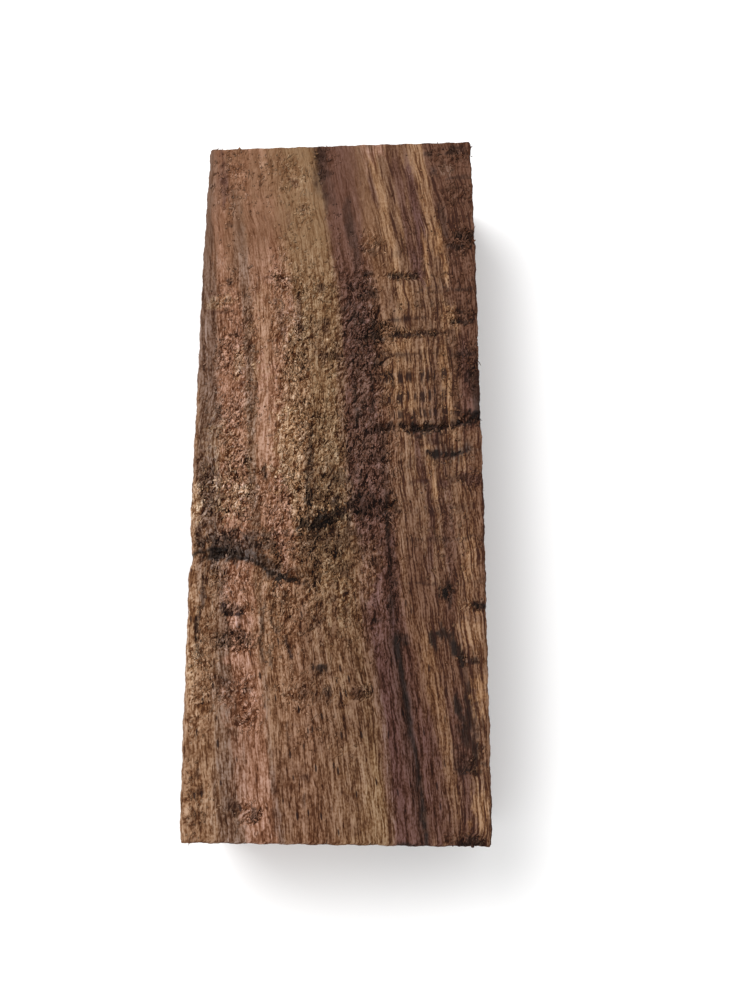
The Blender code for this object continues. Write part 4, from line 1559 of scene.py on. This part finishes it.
@dataclass(frozen=True)
class Chips:
    """Chips and splinters that the saw lifted: thin closed leaves, rooted in the wood with a raised tip.

    Each has ten points: a root, two rings of four and a tip. Its middle runs from the root along its own
    direction with a bend that grows with the square of the run, and rises towards the tip.
    """

    wood: Wood
    slide: Array
    kind: ChipKind
    run: tuple[float, ...] = (0.0, 0.38, 0.76, 1.0)  # how far along its length each ring lies
    half_wide: tuple[float, ...] = (0.0, 0.5, 0.36, 0.0)  # shares of the width
    half_thick: tuple[float, ...] = (0.0, 0.5, 0.38, 0.0)  # shares of the thickness
    rise: tuple[float, ...] = (-0.12, 0.1, 0.6, 1.0)  # a depth for the root, and shares of the lift
    points_each: int = 10
    turned_round: float = 0.35  # the share that point towards the near end, not the far one
    map_margin: float = 0.07

    def places(self) -> tuple[Array, Array]:
        """Random places on the top, the more likely the more torn the wood is there.

        Returns:
            Their x and y.
        """
        rng = np.random.default_rng(self.kind.seed)
        form = self.wood.form
        tries = self.kind.count * 12
        x = rng.uniform(-form.width / 2 + 1.0, form.width / 2 - 0.2, tries)
        y = rng.uniform(-form.length / 2 + 0.3, form.length / 2 - 0.9, tries)
        still = np.zeros(tries)
        chance = self.wood.torn(x, y, still, self.wood.weather(x, y, still))
        chosen = np.flatnonzero(rng.uniform(0, 1, tries) < chance)[: self.kind.count]
        return x[chosen], y[chosen]

    def shapes(self, x: Array, y: Array, rng: np.random.Generator) -> Array:
        """The chips' points.

        Args:
            x, y: their roots.
            rng: the source of random numbers.

        Returns:
            Ten points for each chip.
        """
        form, kind, n = self.wood.form, self.kind, len(x)
        long = rng.uniform(*kind.length, n)
        wide = rng.uniform(*kind.width, n)
        lift = rng.uniform(*kind.lift, n)
        turn = math.pi / 2 + np.radians(rng.normal(0, kind.spread, n))
        turn = turn + math.pi * (rng.uniform(0, 1, n) < self.turned_round)
        bend = rng.normal(0, 0.25, n)
        up = np.tile([0.0, 0.0, 1.0], (n, 1))
        height = form.thickness + form.curl(x, y) - form.hollows(x, y)
        height = height + self.wood.fine_relief(x, y, np.zeros(n), up)
        run, rise = np.array(self.run), np.array(self.rise)
        forward = np.stack([np.cos(turn), np.sin(turn)], 1)[:, None, :]
        sideways = np.stack([-np.sin(turn), np.cos(turn)], 1)[:, None, :]
        middles = np.stack([x, y], 1)[:, None, :] + (long[:, None] * run)[..., None] * forward
        middles = middles + (long[:, None] * bend[:, None] * run**2)[..., None] * sideways
        centre_z = height[:, None] + np.where(rise < 0, rise, lift[:, None] * rise)
        points = np.zeros((n, self.points_each, 3))
        for point, ring in ((0, 0), (self.points_each - 1, len(run) - 1)):
            points[:, point, :2] = middles[:, ring]
            points[:, point, 2] = centre_z[:, ring]
        ring_side = np.array([1.0, 0.0, -1.0, 0.0])
        ring_up = np.array([0.0, 1.0, 0.0, -1.0])
        for ring in (1, 2):
            part = slice(4 * ring - 3, 4 * ring + 1)
            off = (wide[:, None] * self.half_wide[ring] * ring_side)[..., None] * sideways
            points[:, part, :2] = middles[:, ring, None, :] + off
            points[:, part, 2] = centre_z[:, ring, None] + self.half_thick[ring] * kind.thickness * ring_up
        return inside_box(points.reshape(-1, 3) + self.slide).reshape(points.shape)

    def corners(self, n: int) -> tuple[Array, Array]:
        """The vertex numbers of n chips' faces.

        Args:
            n: how many chips.

        Returns:
            Quads between the rings, and triangles at root and tip.
        """
        k = np.arange(4)
        following = (k + 1) % 4
        quad = np.stack([1 + k, 1 + following, 5 + following, 5 + k], 1)
        root = np.stack([np.zeros(4, int), 1 + following, 1 + k], 1)
        tip = np.stack([5 + k, 5 + following, np.full(4, self.points_each - 1)], 1)
        start = self.points_each * np.arange(n)[:, None, None]
        quads = (quad[None] + start).reshape(-1, 4)
        triangles = (np.concatenate([root, tip])[None] + start).reshape(-1, 3)
        return quads, triangles

    def maps(self, n: int) -> Array:
        """Gives each of n chips its own square of the map: along its length one way, round it the other.

        Args:
            n: how many chips.

        Returns:
            A map place for each corner, quads first.
        """
        k = np.arange(4) / 4
        near, far, root, tip = (np.full(4, place) for place in (self.run[1], self.run[2], 0.0, 1.0))
        this, following, middle = k, k + 1 / 4, k + 1 / 8
        quad = ((near, this), (near, following), (far, following), (far, this))
        root_end = ((root, middle), (near, following), (near, this))
        tip_end = ((far, this), (far, following), (tip, middle))
        side = math.ceil(math.sqrt(n))
        square = np.stack([np.arange(n) % side, np.arange(n) // side], 1)[:, None, None, :]
        charts = [np.stack([np.stack(place, 1) for place in ring], 1) for ring in (quad, root_end, tip_end)]
        laid = []
        for chart in (charts[0], np.concatenate(charts[1:])):
            placed = (square + self.map_margin + (1 - 2 * self.map_margin) * chart[None]) / side
            laid.append(placed.reshape(-1, 2))
        return np.concatenate(laid)

    def build(self, material: bpy.types.Material) -> None:
        """Makes the chips as one object in the wood's colour, with painted shade at each root and painted
        light towards each tip.

        Args:
            material: their finish.
        """
        x, y = self.places()
        n = len(x)
        rng = np.random.default_rng(self.kind.seed + 1)
        points = self.shapes(x, y, rng)
        piece = make_piece(self.kind.name, points.reshape(-1, 3), *self.corners(n), self.maps(n), material)
        still = np.zeros(n)
        weather = self.wood.weather(x, y, still)
        torn = self.wood.torn(x, y, still, weather)
        own = self.wood.tint(x, y, still, weather, torn * 0.3)
        brightness = rng.uniform(*self.kind.lightness, n)
        # painted shade at the sunk root and painted light towards the raised tip
        along = np.repeat([0.75, 0.92, 1.08, 1.25], [1, 4, 4, 1])
        tint = own[:, None, :] * (brightness[:, None] * along)[..., None]
        across_place = rng.uniform(-40, 40, n)[:, None] + 0.6 * (points[..., 0] - x[:, None])
        deep_place = np.broadcast_to(rng.uniform(0, 9, n)[:, None], across_place.shape)
        none = np.zeros(self.points_each * n)
        looks = Looks(
            tint=np.clip(tint, DARKEST, LIGHTEST).reshape(-1, 3),
            grain=np.stack([across_place, points[..., 1], deep_place], -1).reshape(-1, 3),
            torn=none,
            rows=none,
            lines=none + 0.6,
            figure=none,
            contrast=none + 1,
            pores=none,
        )
        put_looks(piece.data, looks)


# Materials


class Number:
    """A number in a node tree. Its operators add Math nodes."""

    def __init__(self, bench: "Bench", socket: Socket) -> None:
        """Wraps an output socket."""
        self.bench = bench
        self.socket = socket

    def math(self, operation: str, *others: "Number | float", first: float | None = None) -> "Number":
        """Adds one Math node.

        Args:
            operation: Blender's name of it.
            others: what follows this number.
            first: a plain number to put before this one.

        Returns:
            The result.
        """
        values = [self, *others] if first is None else [first, self, *others]
        node = self.bench.node("ShaderNodeMath", {"operation": operation}, dict(enumerate(values)))
        return Number(self.bench, node.outputs[0])

    def __add__(self, other: "Number | float") -> "Number":
        """This plus other."""
        return self.math("ADD", other)

    __radd__ = __add__

    def __mul__(self, other: "Number | float") -> "Number":
        """This times other."""
        return self.math("MULTIPLY", other)

    __rmul__ = __mul__

    def __sub__(self, other: "Number | float") -> "Number":
        """This less other."""
        return self.math("SUBTRACT", other)

    def __rsub__(self, other: float) -> "Number":
        """Other less this."""
        return self.math("SUBTRACT", first=other)

    def smooth(self, low: float, high: float) -> "Number":
        """0 below low, 1 above high, with level ends between.

        Args:
            low, high: the ends; high may be the lower one.

        Returns:
            The result.
        """
        if low > high:
            return 1 - self.smooth(high, low)
        settings = {"interpolation_type": "SMOOTHSTEP"}
        node = self.bench.node("ShaderNodeMapRange", settings, {0: self, 1: low, 2: high})
        return Number(self.bench, node.outputs[0])


@dataclass(frozen=True)
class Pattern:
    """How a pattern is stretched: its bumps per millimetre across (and down) and along the grain."""

    across: float
    along: float
    detail: float = 2.0

    @property
    def factors(self) -> Triple:
        """What a place is multiplied by."""
        return self.across, self.along, self.across


class Bench:
    """Makes the nodes of one material."""

    def __init__(self, name: str) -> None:
        """Starts an empty material."""
        self.material = bpy.data.materials.new(name)
        self.material.use_nodes = True
        self.tree = self.material.node_tree
        self.tree.nodes.clear()

    def node(self, kind: str, settings: dict[str, object], values: dict[int | str, object]) -> bpy.types.Node:
        """Adds a node.

        Args:
            kind: the node's type.
            settings: its own properties, set first.
            values: for each input, a plain value, a Number or a socket to link.

        Returns:
            The node.
        """
        made = self.tree.nodes.new(kind)
        for key, value in settings.items():
            setattr(made, key, value)
        for key, value in values.items():
            if isinstance(value, Number):
                self.tree.links.new(value.socket, made.inputs[key])
            elif isinstance(value, Socket):
                self.tree.links.new(value, made.inputs[key])
            else:
                made.inputs[key].default_value = value
        return made

    def vector(self, operation: str, values: dict[int, object]) -> Socket:
        """The result of a Vector Math node."""
        return self.node("ShaderNodeVectorMath", {"operation": operation}, values).outputs[0]

    def attribute(self, name: str, output: str) -> Socket:
        """One output of the node that reads a vertex attribute."""
        return self.node("ShaderNodeAttribute", {"attribute_name": name}, {}).outputs[output]

    def number(self, name: str) -> Number:
        """A vertex attribute that is a number."""
        return Number(self, self.attribute(name, "Fac"))

    def noise(self, vector: Socket, pattern: Pattern) -> Number:
        """Noise on a stretched vector, spread out to fill -0.5 to 0.5.

        Args:
            vector: the place.
            pattern: how it is stretched.

        Returns:
            The noise.
        """
        place = self.vector("MULTIPLY", {0: vector, 1: pattern.factors})
        values = {"Vector": place, "Scale": 1.0, "Detail": pattern.detail, "Roughness": 0.55}
        return Number(self, self.node("ShaderNodeTexNoise", {}, values).outputs[0]).smooth(0.34, 0.66) - 0.5

    def tip(self, vector: Socket, pattern: Pattern, noise: Number, step: Triple) -> Number:
        """Painted light and shade on each bump: its noise less the same noise a step away, lighter on one
        side and darker on the other.
        """
        return noise - self.noise(self.vector("ADD", {0: vector, 1: step}), pattern)

    def wrinkled(self, vector: Socket, pattern: Pattern, far: float) -> Socket:
        """A vector pushed about by up to half of far.

        Args:
            vector: the place.
            pattern: the bumps of the push.
            far: how far.

        Returns:
            The vector plus the push.
        """
        place = self.vector("MULTIPLY", {0: vector, 1: pattern.factors})
        values = {"Vector": place, "Scale": 1.0, "Detail": pattern.detail}
        push = self.node("ShaderNodeTexNoise", {}, values).outputs["Color"]
        centred = self.vector("SUBTRACT", {0: push, 1: (0.5, 0.5, 0.5)})
        return self.vector("ADD", {0: vector, 1: self.vector("SCALE", {0: centred, 3: far})})

    def cells(self, vector: Socket, pattern: Pattern, feature: str = "F1") -> bpy.types.Node:
        """The node that makes cells on a stretched vector."""
        place = self.vector("MULTIPLY", {0: vector, 1: pattern.factors})
        return self.node("ShaderNodeTexVoronoi", {"feature": feature}, {"Vector": place, "Scale": 1.0})

    def chance(self, cells: bpy.types.Node) -> Number:
        """Each cell's own random number: the red part of its colour."""
        return Number(self, self.node("ShaderNodeSeparateColor", {}, {0: cells.outputs["Color"]}).outputs[0])

    def mixed(self, factor: Number, first: Socket, second: Tone) -> Socket:
        """A colour mixed with a tone by factor."""
        values = {0: factor, 6: first, 7: (*[float(part) for part in second.light], 1.0)}
        return self.node("ShaderNodeMix", {"data_type": "RGBA"}, values).outputs[2]

    def finished(self, values: dict[str, object]) -> bpy.types.Material:
        """Ends the material with a Principled shader.

        Args:
            values: the shader's inputs.

        Returns:
            The material.
        """
        shader = self.node("ShaderNodeBsdfPrincipled", {}, values)
        self.node("ShaderNodeOutputMaterial", {}, {"Surface": shader.outputs[0]})
        return self.material


@dataclass(frozen=True)
class SawnKoa:
    """Dry, rough-sawn koa: fibres, dark strands of figure, open pores and torn scales."""

    roughness: float = 0.82
    specular: float = 0.12
    strand: Pattern = Pattern(1.1, 0.06)
    fibre: Pattern = Pattern(2.6, 0.16)
    thread: Pattern = Pattern(5.0, 0.34)
    fleck: Pattern = Pattern(3.6, 2.0, 3.0)
    dash: Pattern = Pattern(2.4, 0.36)
    row_spot: Pattern = Pattern(1.05, 0.07)
    pore: Pattern = Pattern(1.15, 0.28)
    wave: Pattern = Pattern(0.5, 0.16, 1.0)
    stretch: Pattern = Pattern(0.55, 0.32)  # where the fissures run
    fissure: Pattern = Pattern(0.9, 0.11, 3.0)
    lean: float = 0.35  # how far the torn flakes turn from the grain, in radians
    wrinkle: Pattern = Pattern(0.8, 0.6, 1.0)
    ripple: Pattern = Pattern(0.5, 0.24)
    chip: Pattern = Pattern(1.5, 0.62)
    crumb: Pattern = Pattern(3.4, 1.7)
    crack: Pattern = Pattern(0.75, 0.36, 3.0)
    scale: Pattern = Pattern(1.7, 1.25)

    def build(self) -> bpy.types.Material:
        """Makes the material.

        The tint is multiplied by e to the power of a shade, times each colour's own share. The shade adds
        the straight fibres and the torn flakes with their painted light and shade, and takes away the painted
        shade of the gaps between the flakes, the fissures and the deep lines. Rows of spots, pores and the
        figure's wine strands are mixed over it.

        Returns:
            It, reading the meshes' attributes.
        """
        bench = Bench("sawn_koa_grain")
        tint = bench.attribute("tint", "Color")
        grain = bench.attribute("grain", "Vector")
        torn, rows, pore_share = bench.number("torn"), bench.number("rows"), bench.number("pores")
        lines, figure, depth = bench.number("lines"), bench.number("figure"), bench.number("contrast")

        # Straight fibres
        strand = bench.noise(grain, self.strand)
        fibre = bench.noise(grain, self.fibre)
        thread = bench.noise(grain, self.thread)
        fleck = bench.noise(grain, self.fleck)
        dash = bench.noise(grain, self.dash)
        straight = 0.7 * strand + (0.5 + 0.7 * figure) * fibre + 0.8 * thread + 0.8 * fleck
        straight = straight + (0.8 - 0.8 * figure) * dash

        # Torn flakes, which lean, with painted light on their raised and lit sides and painted shade at their
        # edges and in their gaps
        turned = {"Vector": grain, "Angle": self.lean}
        leaning = bench.node("ShaderNodeVectorRotate", {"rotation_type": "Z_AXIS"}, turned).outputs[0]
        wrinkled = bench.wrinkled(leaning, self.wrinkle, 0.7)
        chip = bench.noise(wrinkled, self.chip)
        crumb = bench.noise(wrinkled, self.crumb)
        ripple = bench.noise(wrinkled, self.ripple)
        # painted light and shade: each flake lighter on one side and darker on the other, as if lit from one
        # side
        chip_painted_light = bench.tip(wrinkled, self.chip, chip, (0.2, -0.22, 0.0))
        crumb_painted_light = bench.tip(wrinkled, self.crumb, crumb, (0.1, -0.11, 0.0))
        ripple_painted_light = bench.tip(wrinkled, self.ripple, ripple, (0.55, -0.4, 0.0))
        own = bench.chance(bench.cells(wrinkled, self.scale)) - 0.5
        scale_edge = bench.cells(wrinkled, self.scale, "DISTANCE_TO_EDGE")
        edge = Number(bench, scale_edge.outputs["Distance"]).smooth(0.1, 0.0)
        # the flakes' random tone, with painted light where they stand higher and on their lit sides, and
        # painted shade at their edges
        flake_tone_painted_light_and_shade = 0.7 * chip + 0.6 * crumb + 1.7 * chip_painted_light + 0.9 * crumb_painted_light
        flake_tone_painted_light_and_shade = flake_tone_painted_light_and_shade + 0.4 * own - 0.3 * edge + 1.9 * ripple_painted_light
        # painted shade in the gaps and cracks between the flakes
        crack = bench.noise(wrinkled, self.crack).math("ABSOLUTE").smooth(0.1, 0.01)
        gaps = (0.8 * (chip + 0.4 * crumb).smooth(-0.15, -0.5) + crack) * torn.smooth(0.05, 0.6)

        # Long fissures and deep lines
        waved = bench.wrinkled(grain, self.wave, 0.9)
        open_here = bench.noise(grain, self.stretch).smooth(-0.1, 0.15)
        fissure = bench.noise(waved, self.fissure).math("ABSOLUTE").smooth(0.16, 0.04) * open_here
        deep_line = (fibre + 0.5 * strand + 0.3 * thread).smooth(-0.25, -0.65) * (0.45 + 0.55 * figure)

        # Colour
        ground = (lines * straight + torn * flake_tone_painted_light_and_shade * 1.45 - 0.1 * rows).math("TANH") * depth
        shade = 1.05 * ground - 0.42 * ground * ground + 0.19
        # takes away the painted shade of the gaps, then the fissures and the deep lines
        shade = shade - 0.9 * gaps - 1.0 * fissure * pore_share - 0.75 * deep_line
        shares = dict(enumerate((shade * share).math("EXPONENT") for share in DARKENING))
        spread = bench.node("ShaderNodeCombineXYZ", {}, shares).outputs[0]
        colour = bench.vector("MULTIPLY", {0: tint, 1: spread})
        wine = (fibre + 0.5 * strand).smooth(0.05, -0.5) * figure * 0.3
        colour = bench.mixed(wine, colour, Tone.WINE)
        dots = bench.noise(grain, self.row_spot).smooth(-0.05, 0.12) * rows
        colour = bench.mixed(dots * 0.9, colour, Tone.WINE_DARK)
        pore = bench.cells(grain, self.pore)
        chosen = (bench.chance(pore) - 0.5).smooth(0.0, 0.1)
        pits = Number(bench, pore.outputs["Distance"]).smooth(0.23, 0.13) * chosen * pore_share
        colour = bench.mixed(pits * 0.9, colour, Tone.WINE_DARK)

        # Relief, in millimetres
        height = 0.05 * fibre + 0.04 * thread - 0.1 * pits - 0.08 * dots
        height = height + torn * (0.22 * chip + 0.12 * crumb + 0.12 * own - 0.08 * edge) - 0.06 * gaps
        bump = bench.node("ShaderNodeBump", {}, {"Strength": 1.0, "Distance": MM, "Height": height})
        return bench.finished({
            "Base Color": colour,
            "Roughness": self.roughness + 0.12 * crumb,
            "Specular IOR Level": self.specular,
            "Normal": bump.outputs[0],
        })


@dataclass(frozen=True)
class PaleFloor:
    """Plain white card, perfectly dull."""

    level: float = 0.92

    def build(self) -> bpy.types.Material:
        """Makes the material."""
        colour = (self.level, self.level, self.level, 1.0)
        values = {"Base Color": colour, "Roughness": 1.0, "Specular IOR Level": 0.0}
        return Bench("pale_floor").finished(values)


# The studio


@dataclass(frozen=True)
class SoftBox:
    """A square lamp: where it stands and its side, in metres, and its power in watts."""

    name: str
    place: Triple
    side: float
    power: float

    def build(self) -> None:
        """Hangs the lamp, facing the middle of the block."""
        light = bpy.data.lights.new(self.name, "AREA")
        light.shape = "SQUARE"
        light.size = self.side
        light.energy = self.power
        lamp = bpy.data.objects.new(self.name, light)
        lamp.location = self.place
        lamp.rotation_mode = "QUATERNION"
        lamp.rotation_quaternion = (-Vector(self.place)).to_track_quat("-Z", "Y")
        bpy.context.scene.collection.objects.link(lamp)


@dataclass(frozen=True)
class Studio:
    """The floor, the lamps and the camera."""

    floor_half: float = 1.6
    sky: float = 0.97
    lamps: tuple[SoftBox, ...] = (
        SoftBox("key_lamp", (-0.42, 0.46, 0.9), 0.55, 7.0),
        SoftBox("fill_lamp", (0.8, -0.5, 0.9), 0.8, 0.5),
    )
    eye: Triple = (13.99, -40.18, 179.01)  # in millimetres
    turn: Triple = (12.388, 2.628, -0.359)  # axis times angle, in degrees
    lens: float = 32.4
    nearest: float = 0.01  # the closest that the camera sees, in metres

    def lay_floor(self) -> None:
        """Lays the floor: one square."""
        half = self.floor_half
        mesh = bpy.data.meshes.new("floor")
        corners = [(-half, -half, 0), (half, -half, 0), (half, half, 0), (-half, half, 0)]
        mesh.from_pydata(corners, [], [(0, 1, 2, 3)])
        mesh.materials.append(PaleFloor().build())
        floor = bpy.data.objects.new("floor", mesh)
        bpy.context.scene.collection.objects.link(floor)

    def light(self) -> None:
        """Hangs the lamps in a plain white sky."""
        world = bpy.data.worlds.new("studio")
        world.use_nodes = True
        background = world.node_tree.nodes["Background"]
        background.inputs["Color"].default_value = (1.0, 1.0, 1.0, 1.0)
        background.inputs["Strength"].default_value = self.sky
        bpy.context.scene.world = world
        for lamp in self.lamps:
            lamp.build()

    def build(self, slide: Array) -> None:
        """Sets the stage and the camera.

        Args:
            slide: how far the block was slid to centre it, which the camera follows.
        """
        self.lay_floor()
        self.light()
        camera = bpy.data.cameras.new("photo_camera")
        camera.lens = self.lens
        camera.clip_start = self.nearest
        viewer = bpy.data.objects.new("photo_camera", camera)
        viewer.location = Vector([(place + offset) * MM for place, offset in zip(self.eye, slide)])
        axis = Vector(self.turn)
        viewer.rotation_mode = "QUATERNION"
        viewer.rotation_quaternion = Quaternion(axis.normalized(), math.radians(axis.length))
        bpy.context.scene.collection.objects.link(viewer)
        bpy.context.scene.camera = viewer
        bpy.context.scene.view_settings.view_transform = "Standard"


def main() -> None:
    """Builds the block, its chips and the studio in order."""
    logging.basicConfig(level=logging.INFO, format="%(name)s: %(message)s")
    wood = Wood(BlockForm())
    finish = SawnKoa().build()
    slide = BlockSkin(wood).build(finish)
    for kind in CHIP_KINDS:
        Chips(wood, slide, kind).build(finish)
    Studio().build(slide)


if __name__ == "__main__":
    main()
